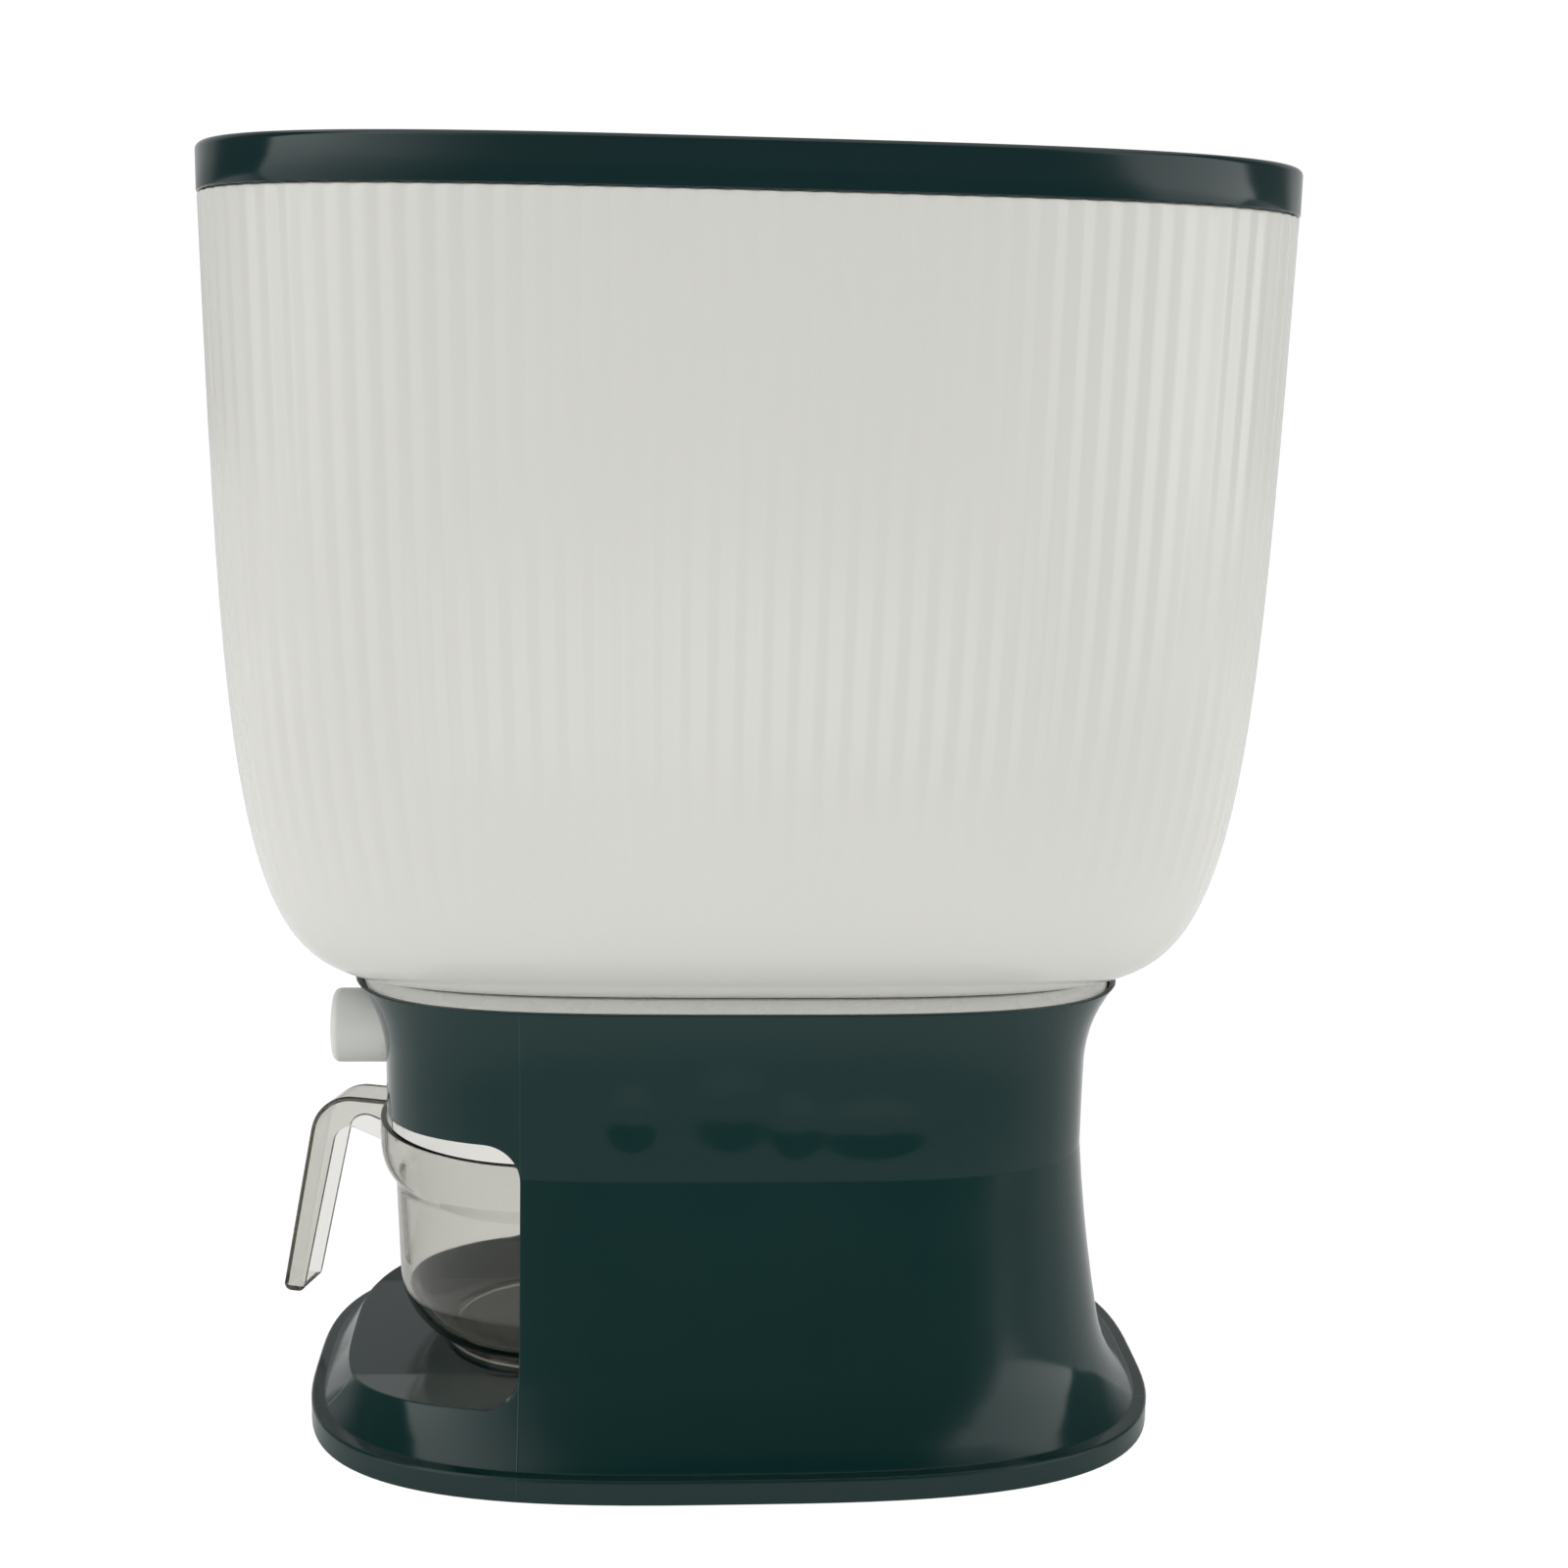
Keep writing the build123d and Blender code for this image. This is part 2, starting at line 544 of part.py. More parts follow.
def lid_seal():
    """Soft ring in the lid over the hopper's rim."""
    bottom = RIM_TOP + GAP
    top = LID_TOP - LID_SKIN
    width = HOPPER_HALF_WIDTH + LID_OVER - LID_SKIRT - 0.2
    length = HOPPER_HALF_LENGTH + LID_OVER - LID_SKIRT - 0.2
    ring = oval_block(width, length, bottom, top, HOPPER_POWER)
    return ring - oval_block(width - SEAL_WIDTH, length - SEAL_WIDTH, bottom - 1, top + 1, HOPPER_POWER)


def cup_profile(inset):
    """Half section of the cup's outside, or of its inside when drawn in by the wall."""
    low = CUP_LOW_RADIUS - inset
    body_radius = CUP_BODY_RADIUS - inset
    rim = CUP_RIM_RADIUS - inset
    bottom = TRAY_TOP + 0.2 + CUP_RING_HEIGHT + inset
    corner = CUP_ROUND - inset
    top = CUP_RIM_Z if inset == 0 else CUP_RIM_Z + 1
    line = Line((0, bottom), (low - corner, bottom))
    bend = RadiusArc((low - corner, bottom), (low, bottom + corner), -corner)
    side = Line((low, bottom + corner), (body_radius, CUP_LIP_BOTTOM - 2))
    lip = Spline(
        (body_radius, CUP_LIP_BOTTOM - 2), (body_radius + 3.0, CUP_LIP_BOTTOM + 4.5), (rim, CUP_LIP_BOTTOM + 14),
        tangents=[(0.05, 1), (0, 1)])
    wall = Line((rim, CUP_LIP_BOTTOM + 14), (rim, top))
    close_top = Line((rim, top), (0, top))
    axis = Line((0, top), (0, bottom))
    return make_face([line, bend, side, lip, wall, close_top, axis])


def rounded(face, x, z, radius):
    """Round the corner of a profile that lies nearest to a point."""
    return fillet(face.vertices().sort_by_distance((x, z, 0))[0], radius)


def handle_profile():
    """Side view of the handle: a level root, a bend and a grip that leans outwards."""
    top = CUP_RIM_Z - 0.6
    bend_x = HANDLE_OUT - HANDLE_LEAN * (top - HANDLE_TIP_Z)
    outline = Polyline(
        (HANDLE_ROOT, top), (bend_x, top), (HANDLE_OUT, HANDLE_TIP_Z), (HANDLE_OUT - GRIP_DEPTH, HANDLE_TIP_Z),
        (ARMPIT_X, ARMPIT_Z), (HANDLE_ROOT, ROOT_BOTTOM), close=True)
    face = rounded(make_face(outline), bend_x, top, BEND_RADIUS)
    face = rounded(face, ARMPIT_X, ARMPIT_Z, ARMPIT_RADIUS)
    face = rounded(face, HANDLE_OUT, HANDLE_TIP_Z, TIP_RADIUS)
    return rounded(face, HANDLE_OUT - GRIP_DEPTH, HANDLE_TIP_Z, TIP_RADIUS)


def handle_channel():
    """Hollow between the handle's side walls, open towards the cup."""
    top = CUP_RIM_Z - 0.6 - HANDLE_WALL
    tip = HANDLE_OUT - HANDLE_WALL
    tip_z = HANDLE_TIP_Z + HANDLE_WALL
    bend_x = tip - HANDLE_LEAN * (top - tip_z)
    outline = Polyline(
        (HANDLE_ROOT - 8, top), (bend_x, top), (tip, tip_z), (tip - 20, tip_z), (HANDLE_ROOT - 8, 60), close=True)
    return rounded(make_face(outline), bend_x, top, BEND_RADIUS - HANDLE_WALL)


def measuring_cup():
    """Clear cup with a flared lip, a foot ring and a U-channel handle."""
    outside = revolve(Plane.XZ * cup_profile(0.0), Axis.Z)
    inside = revolve(Plane.XZ * cup_profile(CUP_WALL), Axis.Z)
    foot = TRAY_TOP + 0.2
    ring = rod(0, 0, foot, foot + CUP_RING_HEIGHT + 1, CUP_RING_RADIUS + CUP_RING_WIDTH / 2)
    ring -= rod(0, 0, foot - 1, foot + CUP_RING_HEIGHT + 2, CUP_RING_RADIUS - CUP_RING_WIDTH / 2)
    handle = extrude(Plane.XZ * handle_profile(), HANDLE_WIDTH / 2, both=True)
    sides = handle.edges().group_by(Axis.Y)
    handle = fillet(sides[0] + sides[-1], HANDLE_EDGE)
    handle -= extrude(Plane.XZ * handle_channel(), HANDLE_WIDTH / 2 - HANDLE_WALL, both=True)
    bowl = outside - inside
    bowl = fillet(bowl.edges().group_by(Axis.Z)[-1], CUP_RIM_EDGE)
    body = bowl + [ring, handle - outside]
    return Pos(0, CUP_Y, 0) * Rot(0, 0, -90 - HANDLE_TURN) * body


def button():
    """Round push button with a hollow barrel and a screw boss."""
    body = rod_along_y(0, BUTTON_Z, BUTTON_FACE_Y, BUTTON_BACK_Y, BUTTON_RADIUS)
    body = fillet(body.edges().group_by(Axis.Y)[0], BUTTON_EDGE)
    hollow = rod_along_y(0, BUTTON_Z, BUTTON_FACE_Y + BUTTON_WALL, BUTTON_BACK_Y + 1, BUTTON_RADIUS - BUTTON_WALL)
    boss_back = TONGUE_PAD_BACK_Y - TONGUE_PAD
    body -= hollow
    body += rod_along_y(0, BUTTON_Z, BUTTON_FACE_Y + BUTTON_WALL / 2, boss_back, BUTTON_BOSS_RADIUS)
    body -= rod_along_y(0, BUTTON_Z, BUTTON_FACE_Y + BUTTON_WALL + 1, boss_back + 1, SCREW_RADIUS)
    return body


def button_screw():
    """Screw from the tongue's pad forward into the button's boss."""
    shank = rod_along_y(0, BUTTON_Z, TONGUE_PAD_BACK_Y - TONGUE_PAD - 8, TONGUE_PAD_BACK_Y, SCREW_RADIUS)
    return shank + rod_along_y(0, BUTTON_Z, TONGUE_PAD_BACK_Y, TONGUE_PAD_BACK_Y + HEAD_HEIGHT, HEAD_RADIUS)


def button_sleeve():
    """Guide bush for the button, standing on the bay's ceiling."""
    inner = BUTTON_RADIUS + GAP
    body = rod_along_y(0, BUTTON_Z, SLEEVE_FRONT_Y, SLEEVE_BACK_Y, inner + SLEEVE_WALL)
    body += slab(CEILING_TOP, BUTTON_Z, SLEEVE_FRONT_Y, SLEEVE_BACK_Y, SLEEVE_FOOT_HALF)
    return body - rod_along_y(0, BUTTON_Z, SLEEVE_FRONT_Y - 1, SLEEVE_BACK_Y + 1, inner)


def gate():
    """Shutter plate with its port, the tongue to the button and the rear lug for the springs."""
    port_y = CUP_Y - TRAVEL
    front = port_y - PORT_LENGTH / 2 - GATE_FRONT_MARGIN
    plate = slab(GATE_BOTTOM, GATE_TOP, front, GATE_BACK_Y, GATE_HALF_WIDTH)
    plate = fillet(plate.edges().filter_by(Axis.Z).group_by(Axis.Y)[0], 3)
    pad_front = TONGUE_PAD_BACK_Y - TONGUE_PAD
    tongue = slab(GATE_BOTTOM, GATE_TOP, TONGUE_PAD_BACK_Y, front + 1, TONGUE_HALF_WIDTH)
    pad = rod_along_y(0, BUTTON_Z, pad_front, TONGUE_PAD_BACK_Y, TONGUE_PAD_RADIUS)
    lug = slab(BUTTON_Z - LUG_HEIGHT / 2, BUTTON_Z + LUG_HEIGHT / 2, LUG_FRONT_Y, GATE_BACK_Y, GATE_HALF_WIDTH)
    screw_hole = rod_along_y(0, BUTTON_Z, pad_front - 1, TONGUE_PAD_BACK_Y + 1, SCREW_RADIUS + SCREW_FIT)
    head_room = rod_along_y(0, BUTTON_Z, TONGUE_PAD_BACK_Y, TONGUE_PAD_BACK_Y + HEAD_HEIGHT + 5, HEAD_RADIUS + GAP)
    pin_holes = [
        rod_along_y(side * SPRING_X, BUTTON_Z, PIN_FRONT_Y - TRAVEL - 1, GATE_BACK_Y + 1, PIN_RADIUS + GAP)
        for side in (-1, 1)]
    port = Pos(0, port_y - CUP_Y, 0) * extrude(slot_face(PORT_HALF_WIDTH, PORT_LENGTH / 2, GATE_BOTTOM - 1, 3), 6)
    return plate + [tongue, pad, lug] - (pin_holes + [screw_hole, head_room, port])


def ear_holes(bottom, top):
    """Clearance holes for the four gate screws."""
    return [
        rod(side * EAR_X, y, bottom - 1, top + 1, SCREW_RADIUS + SCREW_FIT) for y in EAR_PLACES for side in (-1, 1)]


def gate_track():
    """Lower half of the gate housing: sliding floor with the outlet, spring bay and end wall."""
    low = SPRING_FLOOR - TRACK_FLOOR
    floor = slab(TRACK_BOTTOM, TRACK_TOP, TRACK_FRONT_Y, COVER_BACK_Y, COVER_OUTER)
    ears = [slab(TRACK_BOTTOM, TRACK_TOP, y - 6, y + 6, COVER_OUTER + EAR_OUT) for y in EAR_PLACES]
    riser = slab(low, TRACK_TOP, COVER_BACK_Y - TRACK_RISER, COVER_BACK_Y, COVER_OUTER)
    spring_floor = slab(low, SPRING_FLOOR, COVER_BACK_Y - TRACK_RISER, TRACK_BACK_Y, COVER_OUTER)
    left = block(-COVER_OUTER, -COVER_INNER, COVER_BACK_Y, TRACK_BACK_Y, low, COVER_TOP)
    right = block(COVER_INNER, COVER_OUTER, COVER_BACK_Y, TRACK_BACK_Y, low, COVER_TOP)
    end = slab(low, COVER_TOP, TRACK_BACK_Y - TRACK_END_WALL, TRACK_BACK_Y, COVER_OUTER)
    pin_holes = [
        rod_along_y(side * SPRING_X, BUTTON_Z, TRACK_BACK_Y - TRACK_END_WALL - 1, TRACK_BACK_Y + 1, PIN_RADIUS)
        for side in (-1, 1)]
    port = extrude(slot_face(PORT_HALF_WIDTH + 0.5, PORT_LENGTH / 2 + 0.5, TRACK_BOTTOM - 5, 3), 12)
    body = floor + (ears + [riser, spring_floor, left, right, end])
    return body - (pin_holes + ear_holes(TRACK_BOTTOM, TRACK_TOP) + [port])


def gate_cover():
    """Upper half of the gate housing with the collar that takes the funnel's neck."""
    body = slab(TRACK_TOP, COVER_TOP, TRACK_FRONT_Y, COVER_BACK_Y, COVER_OUTER)
    collar = extrude(neck_face(COVER_TOP - 0.5, GAP + 2), COVER_COLLAR_HEIGHT + 0.5)
    ears = []
    for y in EAR_PLACES:
        ears.append(block(-COVER_OUTER - EAR_OUT, 1 - COVER_OUTER, y - 6, y + 6, TRACK_TOP, TRACK_TOP + TRACK_FLOOR))
        ears.append(block(COVER_OUTER - 1, COVER_OUTER + EAR_OUT, y - 6, y + 6, TRACK_TOP, TRACK_TOP + TRACK_FLOOR))
    gate_room = slab(TRACK_TOP - 1, COVER_BOTTOM, TRACK_FRONT_Y - 1, COVER_BACK_Y + 1, COVER_INNER)
    neck_room = extrude(neck_face(COVER_TOP, GAP), COVER_COLLAR_HEIGHT + 1)
    port = extrude(slot_face(PORT_HALF_WIDTH, PORT_LENGTH / 2, COVER_BOTTOM - 1, 3), 8)
    body = body + (ears + [collar])
    return body - (ear_holes(TRACK_TOP, COVER_TOP) + [gate_room, neck_room, port, seal_frame(0.1)])


def seal_frame(extra):
    """Frame round the port in the cover's underside; extra widens it to the groove."""
    top = COVER_BOTTOM + SEAL_DEPTH
    bottom = COVER_BOTTOM - 10 * extra
    outer = slot_face(PORT_HALF_WIDTH + 3.5 + extra, PORT_LENGTH / 2 + 3.5 + extra, bottom, 4)
    inner = slot_face(PORT_HALF_WIDTH + 1.2 - extra, PORT_LENGTH / 2 + 1.2 - extra, bottom - 1, 3)
    return extrude(outer, top - bottom) - extrude(inner, 6)


def outlet_seal():
    """Soft wiper frame that keeps grains out of the gap over the gate."""
    return seal_frame(0.0)


def spring_pin(side):
    """Guide pin of a return spring, fixed in the track's end wall."""
    return rod_along_y(side * SPRING_X, BUTTON_Z, PIN_FRONT_Y, TRACK_BACK_Y, PIN_RADIUS)


def return_spring(side):
    """Compression spring between the gate's lug and the track's end wall, with flat ground ends."""
    front = GATE_BACK_Y
    back = TRACK_BACK_Y - TRACK_END_WALL
    pitch = (back - front + 2 * SPRING_WIRE) / SPRING_TURNS
    path = Helix(pitch, back - front + 2 * SPRING_WIRE, SPRING_RADIUS)
    start = Plane(origin=path @ 0, z_dir=path % 0)
    coil = sweep(start * Circle(SPRING_WIRE), path)
    coil = Pos(side * SPRING_X, front - SPRING_WIRE, BUTTON_Z) * Rot(-90, 0, 0) * coil
    return coil & slab(0, 300, front + 0.02, back - 0.02)


def gate_screws():
    """Four screws through cover and track into the posts on the bay's ceiling."""
    head_bottom = TRACK_TOP + TRACK_FLOOR
    screws = []
    for y in EAR_PLACES:
        for side in (-1, 1):
            shank = rod(side * EAR_X, y, TRACK_BOTTOM - 10, head_bottom, SCREW_RADIUS)
            screws.append(shank + rod(side * EAR_X, y, head_bottom, head_bottom + HEAD_HEIGHT, HEAD_RADIUS))
    return Compound(screws)


def hopper_screws():
    """Screws from under the top plate up into the hopper's bosses."""
    under = PLATE_TOP - PLATE_SKIN
    screws = []
    for x, y in HOPPER_SCREW_PLACES:
        shank = rod(x, y, under, HOPPER_FOOT_Z + 10, SCREW_RADIUS)
        screws.append(shank + rod(x, y, under - HEAD_HEIGHT, under, HEAD_RADIUS))
    return Compound(screws)


def chute_bore(inset):
    """Outside of the chute, or its inside when drawn in by the wall."""
    mid = CEILING_TOP + CHUTE_FLANGE
    top = slot_face(PORT_HALF_WIDTH + 3 - inset, PORT_LENGTH / 2 + 3 - inset, TRACK_BOTTOM, 4)
    low = slot_face(CHUTE_HALF_WIDTH - inset, CHUTE_HALF_LENGTH - inset, mid, 4)
    return loft([low, top], ruled=True) + extrude(low, CHUTE_BOTTOM - mid)


def chute():
    """Spout that drops the rice through the bay's ceiling into the cup."""
    flange = extrude(slot_face(CHUTE_HALF_WIDTH + 6, CHUTE_HALF_LENGTH + 4, CEILING_TOP, 6), CHUTE_FLANGE)
    return chute_bore(0.0) + flange - chute_bore(CHUTE_WALL)


def base_plate():
    """Cover of the pedestal's underside with ribs, screw holes and seats for the feet."""
    inset = BASE_REBATE + GAP
    bottom = REBATE_TOP - BASE_PLATE
    body = oval_block(LIP_HALF_WIDTH - inset, LIP_HALF_LENGTH - inset, bottom, REBATE_TOP, FOOT_POWER)
    for y in (-60.0, -20.0, 60.0):
        body += slab(REBATE_TOP - 0.5, REBATE_TOP + 5, y - RIB_THICKNESS / 2, y + RIB_THICKNESS / 2, 72.0)
    for x, y in BASE_SCREW_PLACES:
        body -= rod(x, y, bottom - 1, REBATE_TOP + 1, SCREW_RADIUS + SCREW_FIT)
        body -= rod(x, y, bottom - 1, bottom + HEAD_HEIGHT - 0.9, HEAD_RADIUS + GAP)
    for x, y in FOOT_PLACES.values():
        body -= rod(x, y, bottom - 1, bottom + FOOT_RECESS, FOOT_RADIUS + GAP)
    return body


def base_screws():
    """Screws that hold the base plate to the pedestal's bosses."""
    bottom = REBATE_TOP - BASE_PLATE
    head_top = bottom + HEAD_HEIGHT - 0.9
    screws = []
    for x, y in BASE_SCREW_PLACES:
        shank = rod(x, y, head_top, REBATE_TOP + 9, SCREW_RADIUS)
        screws.append(shank + rod(x, y, head_top - HEAD_HEIGHT + 0.9, head_top, HEAD_RADIUS))
    return Compound(screws)


def foot(x, y):
    """Rubber pad in its recess in the base plate."""
    top = REBATE_TOP - BASE_PLATE + FOOT_RECESS
    pad = rod(x, y, 0, top, FOOT_RADIUS)
    return chamfer(pad.edges().group_by(Axis.Z)[0], 0.5)


nodes = {
    "lid": lid(),
    "lid_seal": lid_seal(),
    "hopper": hopper(),
    "hopper_floor": hopper_floor(),
    "hopper_screws": hopper_screws(),
    "top_plate": top_plate(),
    "pedestal": pedestal(),
    "button": button(),
    "button_screw": button_screw(),
    "button_sleeve": button_sleeve(),
    "gate": gate(),
    "gate_track": gate_track(),
    "gate_cover": gate_cover(),
    "gate_screws": gate_screws(),
    "outlet_seal": outlet_seal(),
    "spring_pin_left": spring_pin(-1),
    "spring_pin_right": spring_pin(1),
    "return_spring_left": return_spring(-1),
    "return_spring_right": return_spring(1),
    "chute": chute(),
    "base_plate": base_plate(),
    "base_screws": base_screws(),
    "measuring_cup": measuring_cup(),
}
for name, (x, y) in FOOT_PLACES.items():
    nodes[name] = foot(x, y)

os.makedirs("parts", exist_ok=True)
for name, shape in nodes.items():
    export_step(shape, f"parts/{name}.step")
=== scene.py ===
import math

import bmesh
import bpy
from bpy.props import FloatProperty, FloatVectorProperty, IntProperty, PointerProperty
from bpy.types import Operator, Panel, PropertyGroup
from mathutils import Matrix, Vector


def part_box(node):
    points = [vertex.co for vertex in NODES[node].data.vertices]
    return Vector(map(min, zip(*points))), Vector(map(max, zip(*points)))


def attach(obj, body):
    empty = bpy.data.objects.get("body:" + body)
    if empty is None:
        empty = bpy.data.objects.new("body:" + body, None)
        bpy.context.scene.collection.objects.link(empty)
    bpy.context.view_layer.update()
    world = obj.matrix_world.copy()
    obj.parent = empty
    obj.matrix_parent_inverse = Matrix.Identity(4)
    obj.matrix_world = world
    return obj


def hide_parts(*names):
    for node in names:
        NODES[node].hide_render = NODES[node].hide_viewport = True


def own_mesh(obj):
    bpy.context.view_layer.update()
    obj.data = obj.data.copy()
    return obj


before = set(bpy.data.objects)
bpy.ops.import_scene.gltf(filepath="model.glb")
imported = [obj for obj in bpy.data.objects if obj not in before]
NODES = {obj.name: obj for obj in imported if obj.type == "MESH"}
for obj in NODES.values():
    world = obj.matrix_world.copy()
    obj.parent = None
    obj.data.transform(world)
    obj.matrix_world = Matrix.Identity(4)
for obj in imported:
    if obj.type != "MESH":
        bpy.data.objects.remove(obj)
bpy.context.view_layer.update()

bl_info = {
    "name": "Rice Dispenser",
    "version": (1, 0, 0),
    "blender": (4, 5, 0),
    "location": "View3D > Sidebar > Rice Dispenser",
    "description": "Dresses the rice dispenser: fluted bin, lid, waisted stand, button and clear cup",
    "category": "Object",
}

HOPPER_LOW, HOPPER_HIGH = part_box("hopper")
LID_LOW, LID_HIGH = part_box("lid")

# Bin, in metres
BIN_FOOT = HOPPER_LOW.z
BIN_SHOULDER = 0.4111
BIN_HALF_WIDTH = 0.1128
BIN_HALF_LENGTH = 0.1742
BIN_TAPER = 0.0203
BIN_DEPTH = 0.2549
BELLY_BEND = 4.1
END_ROUND = 11.6
SIDE_ROUND = 4.7
SQUARENESS = 3.3
BIN_WALL = 0.003
RIM_STEP = 0.002
RIM_WALL = 0.0018
RIM_TOP = HOPPER_HIGH.z
RIM_EDGE = 0.0004
NECK_HALF_WIDTH = 0.0279
NECK_HALF_LENGTH = 0.0109
NECK_Y = -0.065
FLOOR_THICKNESS = 0.0026
INSIDE_DROP = 0.0012    # the inside repeats the outside's sizes this much higher up
FOOT_EDGE = (0.985, 0.992)    # size of the flat foot against the belly's end, across and along
FLUTE_FADE_TOP = 0.232
FLUTE_FADE_BOTTOM = 0.176
FLUTE_STEPS = 10        # points along the outline in one flute
MEASURE_STEPS = 14400   # steps in which the length of an outline is measured
# heights of the rings outside and inside, close together over the belly
OUTSIDE_HEIGHTS = (BIN_FOOT + 0.00004, 0.1598, 0.1602, 0.1608, 0.1618, 0.163, 0.1645, 0.1665, 0.169, 0.172,
                   0.1755, 0.1795, 0.184, 0.189, 0.1945, 0.2005, 0.207, 0.214, 0.2215, 0.23, 0.24, 0.252,
                   0.266, 0.282, 0.3, 0.32, 0.34, 0.36, 0.38, 0.396, 0.406)
INSIDE_HEIGHTS = (0.401, 0.37, 0.33, 0.29, 0.25, 0.225, 0.205, 0.19, 0.178, 0.17, 0.1655, 0.163)
# rounding of the shoulder: distance below it, inset
SHOULDER_EDGE = ((0.0009, 0.0), (0.0004, 0.00008), (0.0001, 0.0003), (0.0, 0.0006))

# Return springs, in metres
SPRING_X = 0.032
SPRING_Z = 0.1331
SPRING_FRONT = -0.03998
SPRING_BACK = -0.00402
SPRING_RADIUS = 0.0032
SPRING_WIRE = 0.00045
SPRING_TURNS = 8
SPRING_STEPS = 28       # rings in one turn of the wire
SPRING_SIDES = 12

# Lid, in metres
LID_HALF_WIDTH = 0.1130
LID_HALF_LENGTH = 0.1744
LID_EDGE = 0.0020
LID_SKIRT = 0.0018
LID_SKIN = 0.0024
LID_PANEL_INSET = 0.011
LID_PANEL_DEPTH = 0.0008
LID_RIB_INSET = 0.0053
LID_RIB = 0.0016
LID_RIB_BOTTOM = 0.4140
LID_POINTS = 360
LID_MIDDLE = 0.06       # inset of the flat middle from the panel's edge
LID_EDGE_STEPS = 8
# sunk panel from its middle to its edge: inset from the edge, height over the panel
LID_PANEL_FORM = ((LID_MIDDLE, 0), (0.02, 0), (0.0009, 0), (0.0003, 0.0002), (-0.0003, 0.0006),
                  (-0.0009, LID_PANEL_DEPTH))
# rounding of the skirt's lower edge: inset, height over the bottom
LID_SKIRT_EDGE = ((0.0, 0.0006), (0.00015, 0.0002), (0.0005, 0.0))

# Marks of the mould on the stand, in metres
PARTING_Y = -0.0728
PARTING_WIDTH = 0.0003
TRAY_LINE_X = 0.0395
TRAY_LINE_WIDTH = 0.0005
TRAY_TOP = 0.0235
LINE_RISE = 0.00004
LINE_HIGHLIGHT = 2.2        # painted highlight: brightness of the lines' colour against the plastic
# share by which the lines' colour is lightened as a painted highlight
LINE_HIGHLIGHT_SHARE = 0.6
STAND_EDGE = 0.0009     # radius by which the edges look rounded
SINK_DEPTH = 0.0008
# middle (Y, Z) and reach along Y and Z of the sink marks over the inner ribs
SINK_MARKS = (((-0.0365, 0.1215), (0.013, 0.015)), ((-0.0040, 0.1240), (0.021, 0.019)),
              ((0.0170, 0.1190), (0.013, 0.015)), ((0.0430, 0.1180), (0.028, 0.014)))

# Stage
# brightness of the studio as it is mirrored, all the way round: degrees from +X toward +Y, brightness
STUDIO_ROUND = ((-180, 0.60), (-146, 0.60), (-129, 0.48), (-117, 0.12), (-86, 0.08), (-81, 0.08),
                (-79, 2.10), (-58, 1.85), (-33, 0.86), (-24, 0.41), (-17, 0.18), (-8, 0.12), (28, 0.10),
                (36, 0.28), (42, 1.40), (60, 1.80), (84, 2.30), (87, 0.20), (116, 0.20), (130, 0.65),
                (180, 0.60))
STUDIO_PEAK = 2.5
# share of that brightness at heights above the horizon: sine of the height, share
STUDIO_UP = ((-0.30, 0.45), (-0.06, 0.70), (0.05, 1.0), (0.14, 0.95), (0.45, 0.76), (0.78, 0.62),
             (0.86, 0.10), (1.0, 0.08))
STUDIO_TILT = 0.15     # the box on the left reaches higher than the one on the right
STUDIO_LEAN = 30.0     # degrees by which both boxes lean in toward the front at their tops
FLOOR_EDGE = 0.47      # the floor ends this far in front of the object's middle, in metres
FLOOR_DEPTH = 8.0
# painted shade and light: the floor's colour is darker in front and lighter behind, as the studio's light
# falls on it
FLOOR_SHADED_FRONT = (0.58, 0.58, 0.58)
FLOOR_LIT_BACK = (0.95, 0.95, 0.95)
# glow of the floor from back to front: place along X, brightness
FLOOR_LIGHT = ((-0.30, 0.35), (0.10, 0.16), (0.22, 0.15), (0.33, 0.02))
FLOOR_GLOW = 1.08
FLOOR_SHARE = 0.90     # part of the floor's look that no shadow dims
LAMP_TARGET = (0, 0, 0.2)
TOP_BOX_PLACE = (0.0, 0, 1.5)
TOP_BOX_SIZE = (1.4, 1.6)
LEFT_WASH_PLACE = (0.15, -1.45, 0.30)
RIGHT_WASH_PLACE = (0.15, 1.45, 0.30)
LOW_WASH_PLACE = (1.5, -0.1, -0.20)
WASH_SIZE = (0.9, 0.5)

# Photograph's viewpoint, in metres and radians
CAMERA_PLACE = (0.7594155, -0.0386831, 0.3632651)
CAMERA_YAW = 0.0711
CAMERA_PITCH = -0.1862
CAMERA_ROLL = 0.0208
CAMERA_LENS = 51.237
CAMERA_SENSOR = 36.0
CAMERA_NEAR = 0.02

# Plastics
PLASTIC_IOR = 1.5
CLEAR_IOR = 1.49
SKIN_GRAIN = 900.0      # grains in a metre
SKIN_HEIGHT = 0.0002


class BinSettings(PropertyGroup):
    flutes: IntProperty(name="Flutes", description="Flutes round the bin", default=120, min=12)
    depth: FloatProperty(name="Flute Depth", description="Depth of a flute", default=0.0006,
                         unit="LENGTH")
    colour: FloatVectorProperty(name="Colour", description="Off-white of the bin", subtype="COLOR",
                                size=3, default=(0.800, 0.795, 0.750), min=0, max=1)


class LidSettings(PropertyGroup):
    colour: FloatVectorProperty(name="Colour", description="Dark green of the lid", subtype="COLOR",
                                size=3, default=(0.0066, 0.0252, 0.0265), min=0, max=1)


class StandSettings(PropertyGroup):
    colour: FloatVectorProperty(name="Colour", description="Dark green of the stand", subtype="COLOR",
                                size=3, default=(0.0046, 0.0305, 0.0288), min=0, max=1)
    plate: FloatVectorProperty(name="Top Plate", description="White of the top plate", subtype="COLOR",
                               size=3, default=(0.96, 0.96, 0.94), min=0, max=1)


class ButtonSettings(PropertyGroup):
    colour: FloatVectorProperty(name="Colour", description="Off-white of the push button",
                                subtype="COLOR", size=3, default=(0.82, 0.83, 0.79), min=0, max=1)


